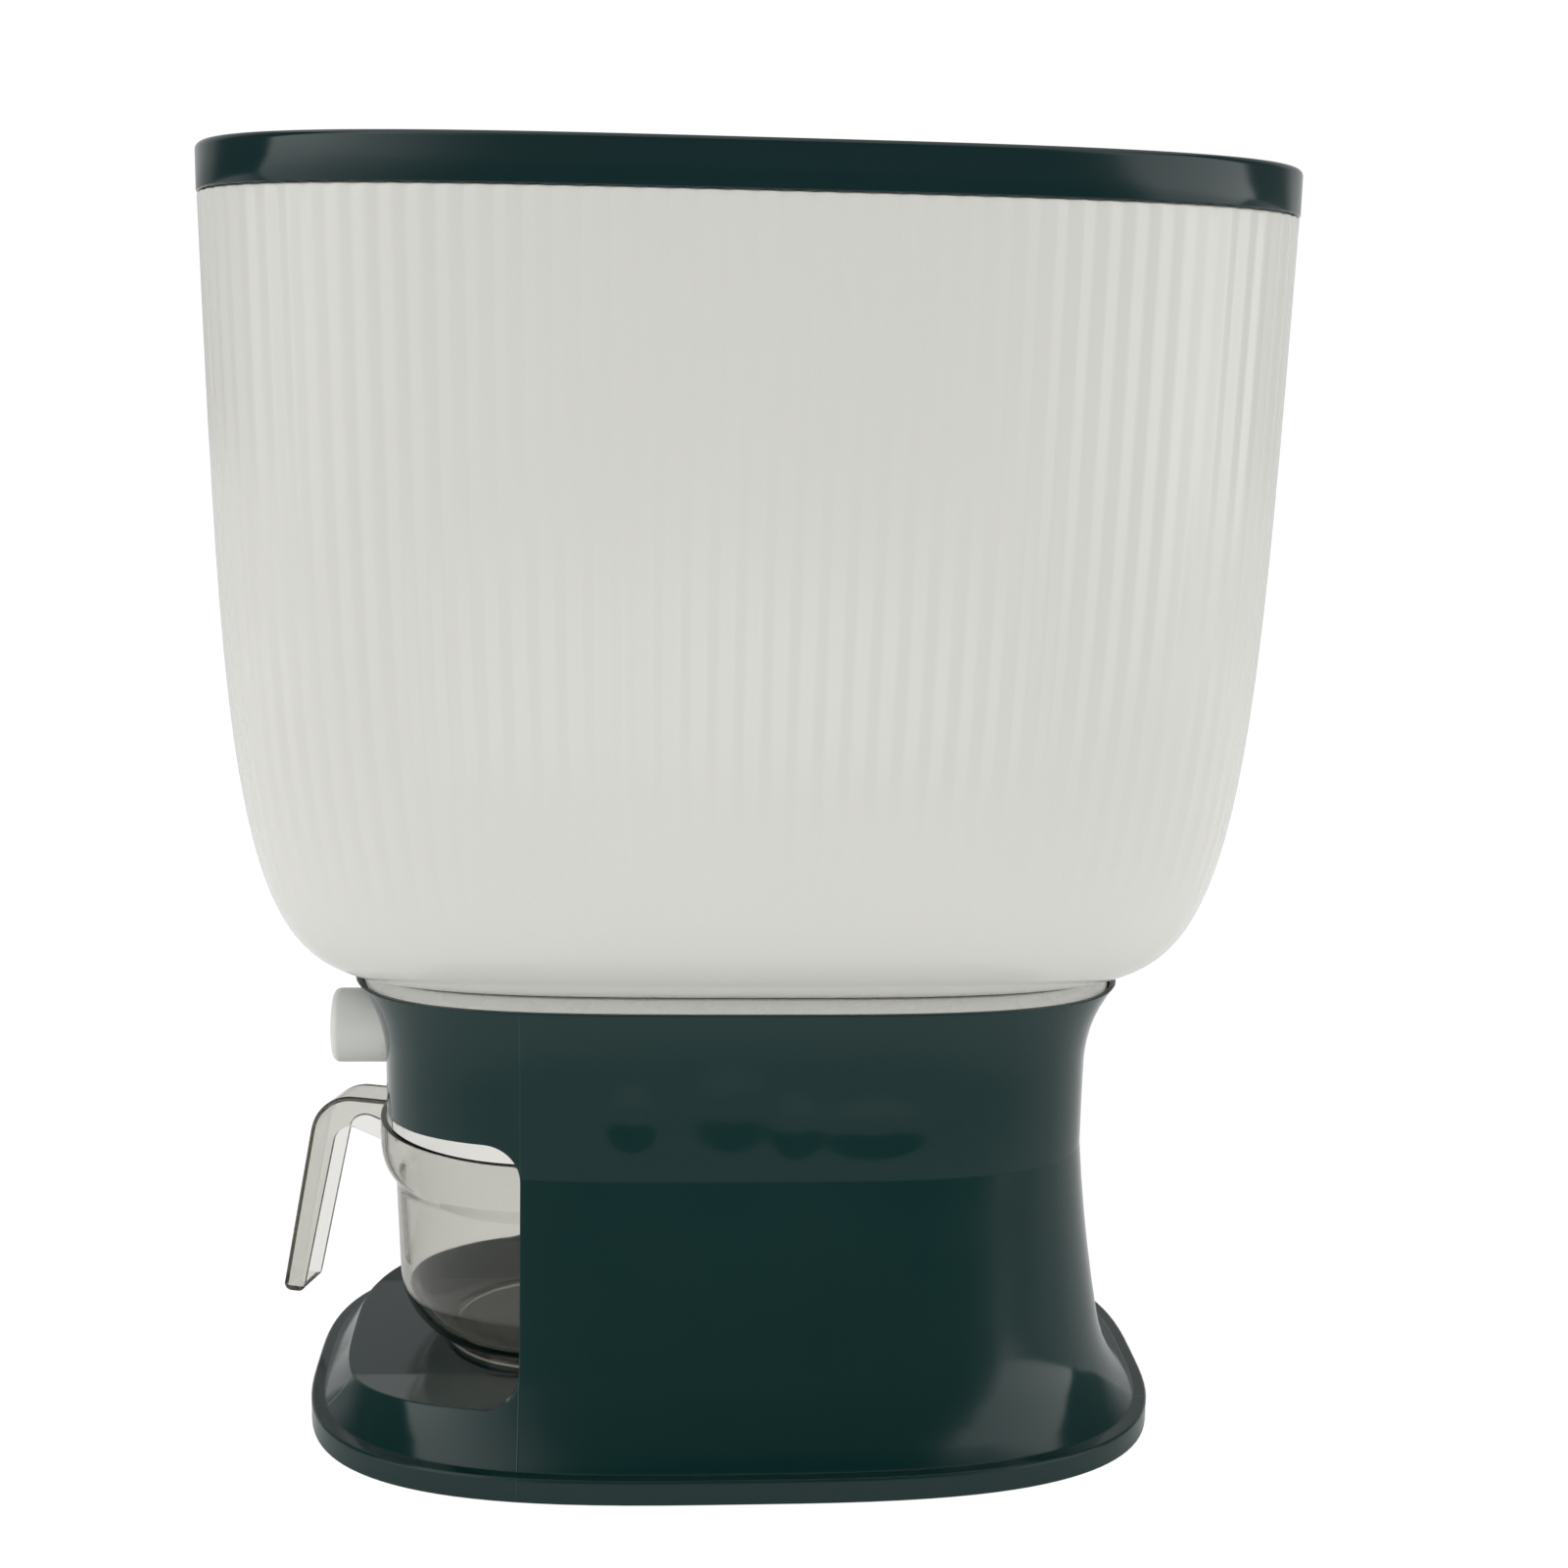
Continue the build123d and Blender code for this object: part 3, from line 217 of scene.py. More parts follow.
class CupSettings(PropertyGroup):
    tint: FloatVectorProperty(name="Tint", description="Smoky tint of the cup's surface",
                              subtype="COLOR", size=3, default=(0.965, 0.960, 0.950), min=0, max=1)
    smoke: FloatVectorProperty(name="Smoke", description="Colour that the depth of the plastic leaves",
                               subtype="COLOR", size=3, default=(0.36, 0.35, 0.26), min=0, max=1)
    density: FloatProperty(name="Smoke Density", description="How much a metre of the plastic takes away",
                           default=165.0, min=0)


class StageSettings(PropertyGroup):
    sides: FloatProperty(name="Side Washes", description="Power of the soft light from each side",
                         default=2.8, min=0)
    low: FloatProperty(name="Low Wash", description="Power of the light from below the table's edge",
                       default=7.8, min=0)
    top: FloatProperty(name="Top Box", description="Power of the soft box overhead", default=5.0, min=0)


def active(name):
    """Name the active object and its mesh, and return it."""
    piece = bpy.context.object
    piece.name = name
    piece.data.name = name
    return piece


def deselect():
    """Clear the selection in object mode."""
    if bpy.context.object and bpy.context.object.mode != "OBJECT":
        bpy.ops.object.mode_set(mode="OBJECT")
    bpy.ops.object.select_all(action="DESELECT")


def superellipse(half_width, half_length, angle):
    """Point of a superellipse in the direction that belongs to an angle."""
    across = math.cos(angle)
    along = math.sin(angle)
    x = half_width * math.copysign(abs(across) ** (2 / SQUARENESS), across)
    y = half_length * math.copysign(abs(along) ** (2 / SQUARENESS), along)
    return x, y


def even_angles(half_width, half_length, count):
    """Angles of count points that lie the same distance apart along a superellipse."""
    fine = MEASURE_STEPS
    lengths = [0.0]
    last = superellipse(half_width, half_length, 0.0)
    for step in range(1, fine + 1):
        place = superellipse(half_width, half_length, 2 * math.pi * step / fine)
        lengths.append(lengths[-1] + math.dist(last, place))
        last = place
    angles = []
    index = 0
    for number in range(count):
        target = number / count * lengths[-1]
        while lengths[index + 1] < target:
            index += 1
        share = (target - lengths[index]) / (lengths[index + 1] - lengths[index])
        angles.append(2 * math.pi * (index + share) / fine)
    return angles


def ring_body(name, rings, closed=True):
    """Piece made from a circle that is extruded from ring to ring; each ring is a list of points."""
    deselect()
    count = len(rings[0])
    bpy.ops.mesh.primitive_circle_add(vertices=count, radius=0.1, location=(0, 0, 0))
    piece = active(name)
    bpy.ops.object.mode_set(mode="EDIT")
    mesh = bmesh.from_edit_mesh(piece.data)
    column = mesh.verts.layers.int.new("column")
    for vertex in mesh.verts:
        vertex[column] = round(math.atan2(vertex.co.y, vertex.co.x) / (2 * math.pi) * count) % count
    place_ring(piece, rings[0])
    for ring in rings[1:]:
        bpy.ops.mesh.extrude_region_move()
        place_ring(piece, ring)
    if closed:
        bpy.ops.mesh.select_all(action="DESELECT")
        bpy.ops.mesh.select_non_manifold(extend=False)
        bpy.ops.mesh.bridge_edge_loops()
    bpy.ops.mesh.select_all(action="SELECT")
    bpy.ops.mesh.normals_make_consistent(inside=False)
    bpy.ops.object.mode_set(mode="OBJECT")
    piece.data.attributes.remove(piece.data.attributes["column"])
    return piece


def close_ends(piece):
    """Fill the open loops of a piece with faces."""
    deselect()
    bpy.context.view_layer.objects.active = piece
    piece.select_set(True)
    bpy.ops.object.mode_set(mode="EDIT")
    bpy.ops.mesh.select_all(action="DESELECT")
    bpy.ops.mesh.select_non_manifold(extend=False)
    bpy.ops.mesh.edge_face_add()
    bpy.ops.mesh.select_all(action="SELECT")
    bpy.ops.mesh.normals_make_consistent(inside=False)
    bpy.ops.object.mode_set(mode="OBJECT")


def place_ring(piece, ring):
    """Move the selected ring of vertices to its points."""
    mesh = bmesh.from_edit_mesh(piece.data)
    column = mesh.verts.layers.int["column"]
    for vertex in mesh.verts:
        if vertex.select:
            vertex.co = ring[vertex[column]]
    bmesh.update_edit_mesh(piece.data)


def smooth(piece, degrees):
    """Shade the piece smooth, with edges sharper than an angle left crisp."""
    deselect()
    piece.select_set(True)
    bpy.context.view_layer.objects.active = piece
    bpy.ops.object.shade_smooth_by_angle(angle=math.radians(degrees))
    deselect()


def dress(piece, material):
    """Give a piece or a CAD node one material."""
    if not piece.data.materials:
        piece.data.materials.append(material)
    for index in range(len(piece.data.materials)):
        piece.data.materials[index] = material


# Materials

def new_material(name):
    """Empty node material with its output and its shader."""
    material = bpy.data.materials.new(name)
    material.use_nodes = True
    tree = material.node_tree
    tree.nodes.clear()
    output = tree.nodes.new("ShaderNodeOutputMaterial")
    shader = tree.nodes.new("ShaderNodeBsdfPrincipled")
    tree.links.new(shader.outputs["BSDF"], output.inputs["Surface"])
    return material, tree, shader


def material_output(tree):
    """Output node of a material."""
    return next(made for made in tree.nodes if made.type == "OUTPUT_MATERIAL")


def node(tree, kind, **values):
    """Node with its properties set."""
    made = tree.nodes.new("ShaderNode" + kind)
    for key, value in values.items():
        setattr(made, key, value)
    return made


def axes(tree, coordinates):
    """Coordinates of one kind, taken apart into X, Y and Z."""
    place = node(tree, "TexCoord")
    split = node(tree, "SeparateXYZ")
    tree.links.new(place.outputs[coordinates], split.inputs["Vector"])
    return split.outputs


def noise(tree, scale, detail, roughness):
    """Noise on the object's own coordinates, in cells per metre."""
    place = node(tree, "TexCoord")
    made = node(tree, "TexNoise")
    made.inputs["Scale"].default_value = scale
    made.inputs["Detail"].default_value = detail
    made.inputs["Roughness"].default_value = roughness
    tree.links.new(place.outputs["Object"], made.inputs["Vector"])
    return made.outputs["Fac"]


def spread(tree, source, low, high, to_low, to_high):
    """Map a value from one range to another."""
    made = node(tree, "MapRange")
    for name, value in (("From Min", low), ("From Max", high), ("To Min", to_low), ("To Max", to_high)):
        made.inputs[name].default_value = value
    tree.links.new(source, made.inputs["Value"])
    return made.outputs["Result"]


def mixed(tree, factor, first, second):
    """Colour between two colours."""
    made = node(tree, "Mix", data_type="RGBA")
    made.inputs["A"].default_value = (*first, 1)
    made.inputs["B"].default_value = (*second, 1)
    tree.links.new(factor, made.inputs["Factor"])
    return made.outputs["Result"]


def bumped(tree, target, height, strength, distance, edge=0.0):
    """Relief from a height on a shader or another bump, over edges that look rounded by a radius."""
    made = node(tree, "Bump")
    made.inputs["Strength"].default_value = strength
    made.inputs["Distance"].default_value = distance
    tree.links.new(height, made.inputs["Height"])
    tree.links.new(made.outputs["Normal"], target.inputs["Normal"])
    if edge:
        rounding = node(tree, "Bevel", samples=6)
        rounding.inputs["Radius"].default_value = edge
        tree.links.new(rounding.outputs["Normal"], made.inputs["Normal"])
    return made


def calculated(tree, operation, first, second):
    """Result of a calculation with two values, each a socket or a number."""
    made = node(tree, "Math", operation=operation)
    for index, value in ((0, first), (1, second)):
        if isinstance(value, (int, float)):
            made.inputs[index].default_value = value
        else:
            tree.links.new(value, made.inputs[index])
    return made.outputs["Value"]


def line_at(tree, distance, width):
    """1 on a line, falling to 0 at a width to either side of it."""
    size = calculated(tree, "ABSOLUTE", distance, 0.0)
    return spread(tree, size, 0.0, width, 1.0, 0.0)


def dent(tree, middle, reach):
    """1 in the middle of an oval on a side wall, falling smoothly to 0 at its reach along Y and Z."""
    place = node(tree, "TexCoord")
    away = node(tree, "VectorMath", operation="SUBTRACT")
    away.inputs[1].default_value = (0, *middle)
    scaled = node(tree, "VectorMath", operation="MULTIPLY")
    scaled.inputs[1].default_value = (0, 1 / reach[0], 1 / reach[1])
    length = node(tree, "VectorMath", operation="LENGTH")
    tree.links.new(place.outputs["Object"], away.inputs[0])
    tree.links.new(away.outputs["Vector"], scaled.inputs[0])
    tree.links.new(scaled.outputs["Vector"], length.inputs[0])
    made = node(tree, "MapRange", interpolation_type="SMOOTHERSTEP")
    made.inputs["To Min"].default_value = 1.0
    made.inputs["To Max"].default_value = 0.0
    tree.links.new(length.outputs["Value"], made.inputs["Value"])
    return made.outputs["Result"]


def stand_plastic(name, colour):
    """Glossy green plastic with the mould's parting lines, slightly raised and painted lighter as a painted
    highlight, and the sink marks over the inner ribs.
    """
    material, tree, shader = new_material(name)
    along = axes(tree, "Object")
    parting = line_at(tree, calculated(tree, "ADD", along["Y"], -PARTING_Y), PARTING_WIDTH)
    across = calculated(tree, "ABSOLUTE", along["X"], 0.0)
    tray_side = calculated(tree, "SUBTRACT", across, TRAY_LINE_X)
    low = spread(tree, along["Z"], TRAY_TOP - 0.001, TRAY_TOP, 1.0, 0.0)
    tray = calculated(tree, "MULTIPLY", line_at(tree, tray_side, TRAY_LINE_WIDTH), low)
    lines = calculated(tree, "MAXIMUM", parting, tray)
    clouds = spread(tree, noise(tree, 8.0, 4.0, 0.55), 0.3, 0.7, 0.0, 1.0)
    plain = mixed(tree, clouds, [value * 0.95 for value in colour], [value * 1.05 for value in colour])
    # painted highlight: the parting and tray lines are lightened in colour as if they catch the light
    tint = node(tree, "Mix", data_type="RGBA")
    tint.inputs["B"].default_value = (*[value * LINE_HIGHLIGHT for value in colour], 1)
    tree.links.new(calculated(tree, "MULTIPLY", lines, LINE_HIGHLIGHT_SHARE), tint.inputs["Factor"])
    tree.links.new(plain, tint.inputs["A"])
    tree.links.new(tint.outputs["Result"], shader.inputs["Base Color"])
    gloss = noise(tree, 48.0, 5.0, 0.6)
    tree.links.new(spread(tree, gloss, 0.25, 0.75, 0.09, 0.14), shader.inputs["Roughness"])
    shader.inputs["IOR"].default_value = PLASTIC_IOR
    skin = bumped(tree, shader, noise(tree, SKIN_GRAIN, 2.0, 0.5), 0.02, SKIN_HEIGHT)
    depth = 0.0
    for middle, reach in SINK_MARKS:
        depth = calculated(tree, "ADD", dent(tree, middle, reach), depth)
    depth = calculated(tree, "MULTIPLY", depth, -SINK_DEPTH)
    height = calculated(tree, "ADD", depth, calculated(tree, "MULTIPLY", lines, LINE_RISE))
    bumped(tree, skin, height, 1.0, 1.0, STAND_EDGE)
    return material


def moulded_plastic(name, colour, rough, flow=14.0, relief=0.05, cloud=0.06, edge=0.0, uneven=0.18,
                    detail=5.0):
    """Moulded plastic: slight flow clouds in colour and gloss, and a fine skin."""
    material, tree, shader = new_material(name)
    clouds = noise(tree, flow, 4.0, 0.55)
    darker = [value * (1 - cloud) for value in colour]
    lighter = [min(1.0, value * (1 + cloud)) for value in colour]
    tint = mixed(tree, spread(tree, clouds, 0.3, 0.7, 0.0, 1.0), darker, lighter)
    tree.links.new(tint, shader.inputs["Base Color"])
    gloss = noise(tree, flow * 6, detail, 0.6)
    tree.links.new(spread(tree, gloss, 0.25, 0.75, rough * (1 - uneven), rough * (1 + uneven)),
                   shader.inputs["Roughness"])
    shader.inputs["IOR"].default_value = PLASTIC_IOR
    bumped(tree, shader, noise(tree, SKIN_GRAIN, 2.0, 0.5), relief, SKIN_HEIGHT, edge)
    return material


def clear_plastic(name, tint, smoke, density):
    """Clear smoky plastic, darker where it is thick, with faint flow lines in its gloss."""
    material, tree, shader = new_material(name)
    clouds = noise(tree, 30.0, 3.0, 0.5)
    darker = [value * 0.985 for value in tint]
    tree.links.new(mixed(tree, clouds, darker, tint), shader.inputs["Base Color"])
    gloss = noise(tree, 160.0, 4.0, 0.6)
    tree.links.new(spread(tree, gloss, 0.3, 0.7, 0.015, 0.06), shader.inputs["Roughness"])
    shader.inputs["Transmission Weight"].default_value = 1.0
    shader.inputs["IOR"].default_value = CLEAR_IOR
    depth = node(tree, "VolumeAbsorption")
    depth.inputs["Color"].default_value = (*smoke, 1)
    depth.inputs["Density"].default_value = density
    tree.links.new(depth.outputs["Volume"], material_output(tree).inputs["Volume"])
    return material


def rubber(name, colour):
    """Matt rubber with a fine pitted skin."""
    material, tree, shader = new_material(name)
    clouds = noise(tree, 60.0, 4.0, 0.6)
    lighter = [value * 1.5 for value in colour]
    tree.links.new(mixed(tree, clouds, colour, lighter), shader.inputs["Base Color"])
    shader.inputs["Roughness"].default_value = 0.75
    bumped(tree, shader, noise(tree, 2 * SKIN_GRAIN, 3.0, 0.6), 0.3, SKIN_HEIGHT)
    return material


def plated_steel(name, rough):
    """Zinc-plated or drawn steel with fine streaks."""
    material, tree, shader = new_material(name)
    streaks = noise(tree, 700.0, 4.0, 0.6)
    tree.links.new(mixed(tree, streaks, (0.48, 0.48, 0.50), (0.66, 0.66, 0.67)), shader.inputs["Base Color"])
    tree.links.new(spread(tree, streaks, 0.3, 0.7, rough * 0.8, rough * 1.3), shader.inputs["Roughness"])
    shader.inputs["Metallic"].default_value = 1.0
    return material


# Bin

def bin_half_sizes(z):
    """Half width and half length of the bin's outside at height z."""
    depth = BIN_SHOULDER - z
    share = max(0.0, 1 - (max(0.0, depth) / BIN_DEPTH) ** BELLY_BEND)
    width = (BIN_HALF_WIDTH - BIN_TAPER * depth) * share ** (1 / SIDE_ROUND)
    length = (BIN_HALF_LENGTH - BIN_TAPER * depth) * share ** (1 / END_ROUND)
    return width, length


def plain_ring(half_width, half_length, z, angles, centre_y=0.0):
    """Ring of points on a superellipse at height z."""
    ring = []
    for angle in angles:
        x, y = superellipse(half_width, half_length, angle)
        ring.append(Vector((x, centre_y + y, z)))
    return ring


def fluted_ring(z, angles, depth, inset=0.0):
    """Ring of points on the bin's outside, drawn in between the crests of the flutes."""
    width, length = bin_half_sizes(z)
    fade = min(1.0, max(0.0, (z - FLUTE_FADE_BOTTOM) / (FLUTE_FADE_TOP - FLUTE_FADE_BOTTOM)))
    fade = fade * fade * (3 - 2 * fade)
    ring = []
    for number, angle in enumerate(angles):
        phase = (number % FLUTE_STEPS) / FLUTE_STEPS
        valley = 1 - abs(1 - 2 * phase)
        push = inset + depth * fade * valley
        x, y = superellipse(width, length, angle)
        slope_x = math.copysign((abs(x) / width) ** (SQUARENESS - 1) / width, x)
        slope_y = math.copysign((abs(y) / length) ** (SQUARENESS - 1) / length, y)
        size = math.hypot(slope_x, slope_y)
        ring.append(Vector((x - push * slope_x / size, y - push * slope_y / size, z)))
    return ring


class RICEBIN_OT_bin(Operator):
    """Make the fluted bin with its stepped rim, smooth inside and foot"""
    bl_idname = "ricebin.bin"
    bl_label = "Make Bin"

    def execute(self, context):
        settings = context.scene.ricebin_bin
        angles = even_angles(BIN_HALF_WIDTH, BIN_HALF_LENGTH, settings.flutes * FLUTE_STEPS)
        rings = [plain_ring(NECK_HALF_WIDTH, NECK_HALF_LENGTH, BIN_FOOT, angles, NECK_Y)]
        width, length = bin_half_sizes(BIN_FOOT)
        rings.append(plain_ring(width * FOOT_EDGE[0], length * FOOT_EDGE[1], BIN_FOOT, angles))
        for z in OUTSIDE_HEIGHTS:
            rings.append(fluted_ring(z, angles, settings.depth))
        for drop, inset in SHOULDER_EDGE:
            rings.append(fluted_ring(BIN_SHOULDER - drop, angles, settings.depth, inset))
        width = BIN_HALF_WIDTH - RIM_STEP
        length = BIN_HALF_LENGTH - RIM_STEP
        for inset, z in ((0, BIN_SHOULDER), (0, RIM_TOP - RIM_EDGE), (RIM_EDGE, RIM_TOP),
                         (RIM_WALL - RIM_EDGE, RIM_TOP), (RIM_WALL, RIM_TOP - RIM_EDGE)):
            rings.append(plain_ring(width - inset, length - inset, z, angles))
        for z in INSIDE_HEIGHTS:
            width, length = bin_half_sizes(z - INSIDE_DROP)
            rings.append(plain_ring(width - BIN_WALL, length - BIN_WALL, z, angles))
        floor = BIN_FOOT + FLOOR_THICKNESS
        rings.append(plain_ring(NECK_HALF_WIDTH, NECK_HALF_LENGTH, floor, angles, NECK_Y))
        piece = ring_body("bin_fluted", rings)
        smooth(piece, 40)
        dress(piece, moulded_plastic("Bin off-white", settings.colour, 0.18, flow=9.0, relief=0.02,
                                     cloud=0.010, uneven=0.03, detail=0.0))
        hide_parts("hopper")
        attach(piece, "stand")
        return {"FINISHED"}


# Lid

class RICEBIN_OT_lid(Operator):
    """Make the lid with its rounded edge, raised border, skirt and inner rib"""
    bl_idname = "ricebin.lid"
    bl_label = "Make Lid"

    def execute(self, context):
        settings = context.scene.ricebin_lid
        angles = even_angles(LID_HALF_WIDTH, LID_HALF_LENGTH, LID_POINTS)
        bottom = LID_LOW.z
        top = LID_HIGH.z
        under = top - LID_SKIN
        outline = [(LID_PANEL_INSET + inset, top - LID_PANEL_DEPTH + rise) for inset, rise in LID_PANEL_FORM]
        outline.append((LID_EDGE * 1.6, top))
        for step in range(LID_EDGE_STEPS + 1):
            turn = math.pi / 2 * step / LID_EDGE_STEPS
            outline.append((LID_EDGE * (1 - math.sin(turn)), top - LID_EDGE * (1 - math.cos(turn))))
        outline.append((0.0, (top + bottom) / 2))
        outline += [(inset, bottom + rise) for inset, rise in LID_SKIRT_EDGE]
        outline += [(LID_SKIRT, bottom), (LID_SKIRT, under), (LID_RIB_INSET, under),
                    (LID_RIB_INSET, LID_RIB_BOTTOM), (LID_RIB_INSET + LID_RIB, LID_RIB_BOTTOM),
                    (LID_RIB_INSET + LID_RIB, under), (LID_PANEL_INSET + LID_MIDDLE, under)]
        rings = [plain_ring(LID_HALF_WIDTH - inset, LID_HALF_LENGTH - inset, z, angles)
                 for inset, z in outline]
        piece = ring_body("lid_shell", rings, closed=False)
        close_ends(piece)
        smooth(piece, 40)
        dress(piece, moulded_plastic("Lid green", settings.colour, 0.13, flow=11.0, relief=0.02, cloud=0.05))
        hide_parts("lid")
        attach(piece, "lid")
        return {"FINISHED"}


class RICEBIN_OT_stand(Operator):
    """Finish the stand, its top plate, base plate and rubber feet"""
    bl_idname = "ricebin.stand"
    bl_label = "Finish Stand"

    def execute(self, context):
        settings = context.scene.ricebin_stand
        green = stand_plastic("Stand green", settings.colour)
        dress(NODES["pedestal"], green)
        dress(NODES["base_plate"], green)
        dress(NODES["top_plate"], moulded_plastic("Top plate white", settings.plate, 0.28, cloud=0.01))
        foot = rubber("Foot rubber", (0.012, 0.012, 0.012))
        for name in ("foot_front_left", "foot_front_right", "foot_rear_left", "foot_rear_right"):
            dress(NODES[name], foot)
        return {"FINISHED"}


class RICEBIN_OT_button(Operator):
    """Finish the push button"""
    bl_idname = "ricebin.button"
    bl_label = "Finish Button"

    def execute(self, context):
        settings = context.scene.ricebin_button
        dress(NODES["button"], moulded_plastic("Button off-white", settings.colour, 0.30, cloud=0.01,
                                               edge=0.0005))
        return {"FINISHED"}


def spring(name, x):
    """Compression spring with ground ends, fixed at the back and pushed in by the gate."""
    length = SPRING_BACK - SPRING_FRONT + 2 * SPRING_WIRE
    steps = SPRING_TURNS * SPRING_STEPS
    rings = []
    for step in range(steps + 1):
        turn = 2 * math.pi * SPRING_TURNS * step / steps
        outward = Vector((math.cos(turn), 0, math.sin(turn)))
        y = SPRING_FRONT - SPRING_WIRE + length * step / steps
        middle = outward * SPRING_RADIUS + Vector((x, y, SPRING_Z))
        ring = []
        for side in range(SPRING_SIDES):
            angle = 2 * math.pi * side / SPRING_SIDES
            point = middle + (outward * math.cos(angle) + Vector((0, math.sin(angle), 0))) * SPRING_WIRE
            point.y = min(SPRING_BACK, max(SPRING_FRONT, point.y))
            ring.append(point)
        rings.append(ring)
    piece = ring_body(name, rings, closed=False)
    close_ends(piece)
    smooth(piece, 50)
    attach(piece, "stand")
    return piece


class RICEBIN_OT_springs(Operator):
    """Make the two return springs, which the pressed button squeezes"""
    bl_idname = "ricebin.springs"
    bl_label = "Make Springs"

    def execute(self, context):
        wire = plated_steel("Spring wire", 0.22)
        for name, replaced, x in (("spring_coil_left", "return_spring_left", -SPRING_X),
                                  ("spring_coil_right", "return_spring_right", SPRING_X)):
            piece = spring(name, x)
            dress(piece, wire)
            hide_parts(replaced)
            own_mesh(piece)
        return {"FINISHED"}


class RICEBIN_OT_mechanism(Operator):
    """Finish the funnel, gate, chute, button sleeve, seals, spring pins and screws"""
    bl_idname = "ricebin.mechanism"
    bl_label = "Finish Mechanism"

    def execute(self, context):
        white = moulded_plastic("Mechanism white", (0.72, 0.72, 0.70), 0.42, cloud=0.02)
        for name in ("hopper_floor", "gate", "gate_track", "gate_cover", "chute", "button_sleeve"):
            dress(NODES[name], white)
        seal = rubber("Seal grey", (0.25, 0.26, 0.26))
        for name in ("lid_seal", "outlet_seal"):
            dress(NODES[name], seal)
        steel = plated_steel("Zinc steel", 0.32)
        for name in ("hopper_screws", "gate_screws", "base_screws", "button_screw", "spring_pin_left",
                     "spring_pin_right"):
            dress(NODES[name], steel)
        return {"FINISHED"}


class RICEBIN_OT_cup(Operator):
    """Finish the clear measuring cup"""
    bl_idname = "ricebin.cup"
    bl_label = "Finish Cup"

    def execute(self, context):
        settings = context.scene.ricebin_cup
        dress(NODES["measuring_cup"], clear_plastic("Cup smoky clear", settings.tint, settings.smoke,
                                                    settings.density))
        return {"FINISHED"}


# Stage

def soft_box(name, place, size, power):
    """Rectangular lamp that faces the object."""
    lamp = bpy.data.lights.new(name, "AREA")
    lamp.shape = "RECTANGLE"
    lamp.size, lamp.size_y = size
    lamp.energy = power
    holder = bpy.data.objects.new(name, lamp)
    bpy.context.scene.collection.objects.link(holder)
    holder.location = place
    aim = Vector(LAMP_TARGET) - Vector(place)
    holder.rotation_euler = aim.to_track_quat("-Z", "Y").to_euler()
    return holder


def seen_straight(tree):
    """1 for what the camera sees directly or through clear plastic, else 0."""
    light_path = node(tree, "LightPath")
    through = node(tree, "Math", operation="SUBTRACT", use_clamp=True)
    tree.links.new(light_path.outputs["Is Transmission Ray"], through.inputs[0])
    tree.links.new(light_path.outputs["Glossy Depth"], through.inputs[1])
    return calculated(tree, "MAXIMUM", light_path.outputs["Is Camera Ray"], through.outputs["Value"])


def ramp(tree, source, stops, peak=1.0):
    """Brightness that runs through stops of a place and a value, as a share of the peak."""
    made = node(tree, "ValToRGB")
    points = made.color_ramp.elements
    low = stops[0][0]
    high = stops[-1][0]
    for place, value in stops[1:-1]:
        point = points.new((place - low) / (high - low))
        point.color = (value / peak, value / peak, value / peak, 1)
    for point, (place, value) in ((points[0], stops[0]), (points[-1], stops[-1])):
        point.color = (value / peak, value / peak, value / peak, 1)
    tree.links.new(spread(tree, source, low, high, 0.0, 1.0), made.inputs["Fac"])
    return made.outputs["Color"]


def studio_world():
    """White studio with soft boxes at both sides, a backdrop behind and a dark room in front."""
    world = bpy.data.worlds.new("Studio")
    bpy.context.scene.world = world
    world.use_nodes = True
    tree = world.node_tree
    tree.nodes.clear()
    output = node(tree, "OutputWorld")
    seen = node(tree, "Background")
    lit = node(tree, "Background")
    along = axes(tree, "Generated")
    turn = calculated(tree, "ARCTAN2", along["Y"], along["X"])
    degrees = spread(tree, turn, -math.pi, math.pi, -180.0, 180.0)
    lean = calculated(tree, "MULTIPLY", calculated(tree, "MULTIPLY", along["Y"], along["Z"]), STUDIO_LEAN)
    round_about = ramp(tree, calculated(tree, "ADD", degrees, lean), STUDIO_ROUND, STUDIO_PEAK)
    tilted = calculated(tree, "ADD", along["Z"], calculated(tree, "MULTIPLY", along["Y"], STUDIO_TILT))
    upward = ramp(tree, tilted, STUDIO_UP)
    both = node(tree, "Mix", data_type="RGBA", blend_type="MULTIPLY")
    both.inputs["Factor"].default_value = 1.0
    tree.links.new(round_about, both.inputs["A"])
    tree.links.new(upward, both.inputs["B"])
    tree.links.new(both.outputs["Result"], lit.inputs["Color"])
    lit.inputs["Strength"].default_value = STUDIO_PEAK
    mix = node(tree, "MixShader")
    tree.links.new(seen_straight(tree), mix.inputs["Fac"])
    tree.links.new(lit.outputs["Background"], mix.inputs[1])
    tree.links.new(seen.outputs["Background"], mix.inputs[2])
    tree.links.new(mix.outputs["Shader"], output.inputs["Surface"])
    seen.inputs["Color"].default_value = (1, 1, 1, 1)


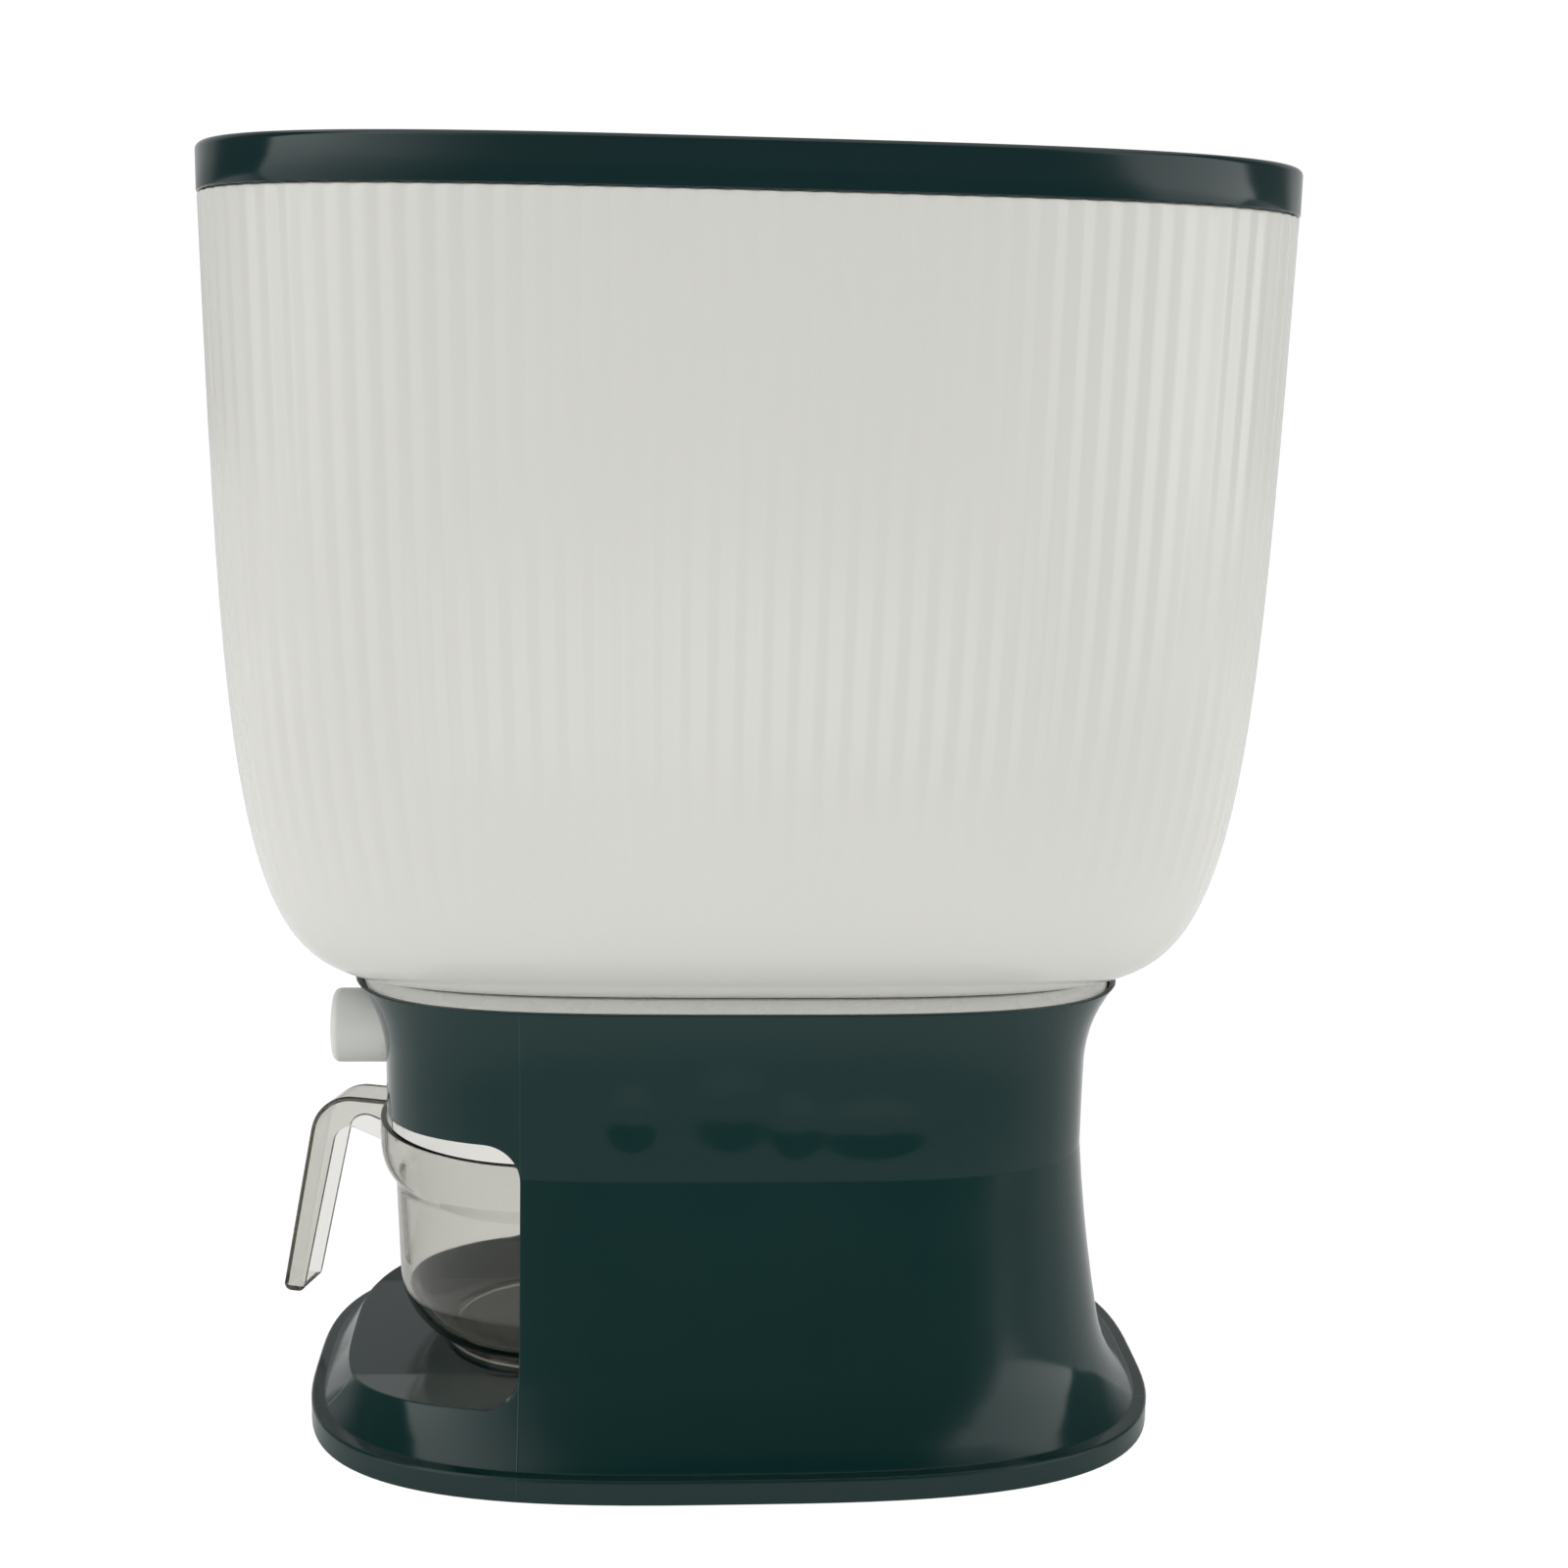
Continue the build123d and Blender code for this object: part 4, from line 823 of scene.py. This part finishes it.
def floor_material():
    """White floor that is brightest behind the object, by painted light in its colour and its glow, and
    keeps a faint shadow under it.
    """
    material, tree, shader = new_material("Floor white")
    depth = axes(tree, "Object")["X"]
    # painted shade and light: the floor's colour runs from darker in front to lighter behind
    tint = mixed(tree, spread(tree, depth, 0.30, 0.0, 0.0, 1.0), FLOOR_SHADED_FRONT, FLOOR_LIT_BACK)
    tree.links.new(tint, shader.inputs["Base Color"])
    shader.inputs["Roughness"].default_value = 0.9
    shader.inputs["Specular IOR Level"].default_value = 0.0
    shader.inputs["Emission Color"].default_value = (1, 1, 1, 1)
    # painted light: the floor glows, most of all behind the object
    tree.links.new(ramp(tree, depth, FLOOR_LIGHT), shader.inputs["Emission Strength"])
    glow = node(tree, "Emission")
    glow.inputs["Strength"].default_value = FLOOR_GLOW
    mix = node(tree, "MixShader")
    tree.links.new(calculated(tree, "MULTIPLY", seen_straight(tree), FLOOR_SHARE), mix.inputs["Fac"])
    tree.links.new(shader.outputs["BSDF"], mix.inputs[1])
    tree.links.new(glow.outputs["Emission"], mix.inputs[2])
    tree.links.new(mix.outputs["Shader"], material_output(tree).inputs["Surface"])
    return material


class RICEBIN_OT_stage(Operator):
    """Make the floor, the lamps, the world and the camera"""
    bl_idname = "ricebin.stage"
    bl_label = "Make Stage"

    def execute(self, context):
        settings = context.scene.ricebin_stage
        deselect()
        bpy.ops.mesh.primitive_plane_add(size=FLOOR_DEPTH, location=(0, 0, 0))
        floor = active("floor")
        bpy.ops.object.mode_set(mode="EDIT")
        bpy.ops.mesh.select_all(action="SELECT")
        bpy.ops.transform.translate(value=(FLOOR_EDGE - FLOOR_DEPTH / 2, 0, 0))
        bpy.ops.object.mode_set(mode="OBJECT")
        dress(floor, floor_material())
        soft_box("Top box", TOP_BOX_PLACE, TOP_BOX_SIZE, settings.top)
        for name, place, power in (("Left wash", LEFT_WASH_PLACE, settings.sides),
                                   ("Right wash", RIGHT_WASH_PLACE, settings.sides),
                                   ("Low wash", LOW_WASH_PLACE, settings.low)):
            soft_box(name, place, WASH_SIZE, power).visible_glossy = False
        studio_world()
        place_camera()
        context.scene.view_settings.view_transform = "Standard"
        return {"FINISHED"}


def place_camera():
    """Camera at the photograph's viewpoint."""
    camera = bpy.data.cameras.new("Camera")
    camera.lens = CAMERA_LENS
    camera.sensor_width = CAMERA_SENSOR
    camera.clip_start = CAMERA_NEAR
    holder = bpy.data.objects.new("Camera", camera)
    bpy.context.scene.collection.objects.link(holder)
    flat = math.cos(CAMERA_PITCH)
    forward = Vector((-flat * math.cos(CAMERA_YAW), flat * math.sin(CAMERA_YAW), math.sin(CAMERA_PITCH)))
    right = Vector((math.sin(CAMERA_YAW), math.cos(CAMERA_YAW), 0))
    up = right.cross(forward)
    turned_right = right * math.cos(CAMERA_ROLL) + up * math.sin(CAMERA_ROLL)
    turned_up = up * math.cos(CAMERA_ROLL) - right * math.sin(CAMERA_ROLL)
    matrix = Matrix((turned_right, turned_up, -forward)).transposed().to_4x4()
    matrix.translation = CAMERA_PLACE
    holder.matrix_world = matrix
    bpy.context.scene.camera = holder


class RICEBIN_PT_panel(Panel):
    """Lists the pieces and their settings"""
    bl_label = "Rice Dispenser"
    bl_idname = "RICEBIN_PT_panel"
    bl_space_type = "VIEW_3D"
    bl_region_type = "UI"
    bl_category = "Rice Dispenser"

    def draw(self, context):
        scene = context.scene
        for settings, names, operator in (
            (scene.ricebin_bin, ("flutes", "depth", "colour"), "ricebin.bin"),
            (scene.ricebin_lid, ("colour",), "ricebin.lid"),
            (scene.ricebin_stand, ("colour", "plate"), "ricebin.stand"),
            (scene.ricebin_button, ("colour",), "ricebin.button"),
            (scene.ricebin_cup, ("tint", "smoke", "density"), "ricebin.cup"),
            (scene.ricebin_stage, ("sides", "low", "top"), "ricebin.stage"),
        ):
            column = self.layout.column(align=True)
            for name in names:
                column.prop(settings, name)
            column.operator(operator)
        self.layout.operator("ricebin.mechanism")
        self.layout.operator("ricebin.springs")


SETTINGS = {
    "ricebin_bin": BinSettings,
    "ricebin_lid": LidSettings,
    "ricebin_stand": StandSettings,
    "ricebin_button": ButtonSettings,
    "ricebin_cup": CupSettings,
    "ricebin_stage": StageSettings,
}
OPERATORS = (RICEBIN_OT_bin, RICEBIN_OT_lid, RICEBIN_OT_stand, RICEBIN_OT_button, RICEBIN_OT_mechanism,
             RICEBIN_OT_springs, RICEBIN_OT_cup, RICEBIN_OT_stage)


def register():
    """Register the settings, the operators and the panel."""
    for name, group in SETTINGS.items():
        bpy.utils.register_class(group)
        setattr(bpy.types.Scene, name, PointerProperty(type=group))
    for operator in OPERATORS:
        bpy.utils.register_class(operator)
    bpy.utils.register_class(RICEBIN_PT_panel)


def unregister():
    """Take back what register added."""
    bpy.utils.unregister_class(RICEBIN_PT_panel)
    for operator in reversed(OPERATORS):
        bpy.utils.unregister_class(operator)
    for name, group in SETTINGS.items():
        delattr(bpy.types.Scene, name)
        bpy.utils.unregister_class(group)


def main():
    """Dress the part, piece by piece."""
    register()
    bpy.ops.ricebin.stage()
    bpy.ops.ricebin.bin()
    bpy.ops.ricebin.lid()
    bpy.ops.ricebin.stand()
    bpy.ops.ricebin.button()
    bpy.ops.ricebin.mechanism()
    bpy.ops.ricebin.springs()
    bpy.ops.ricebin.cup()


if __name__ == "__main__":
    main()
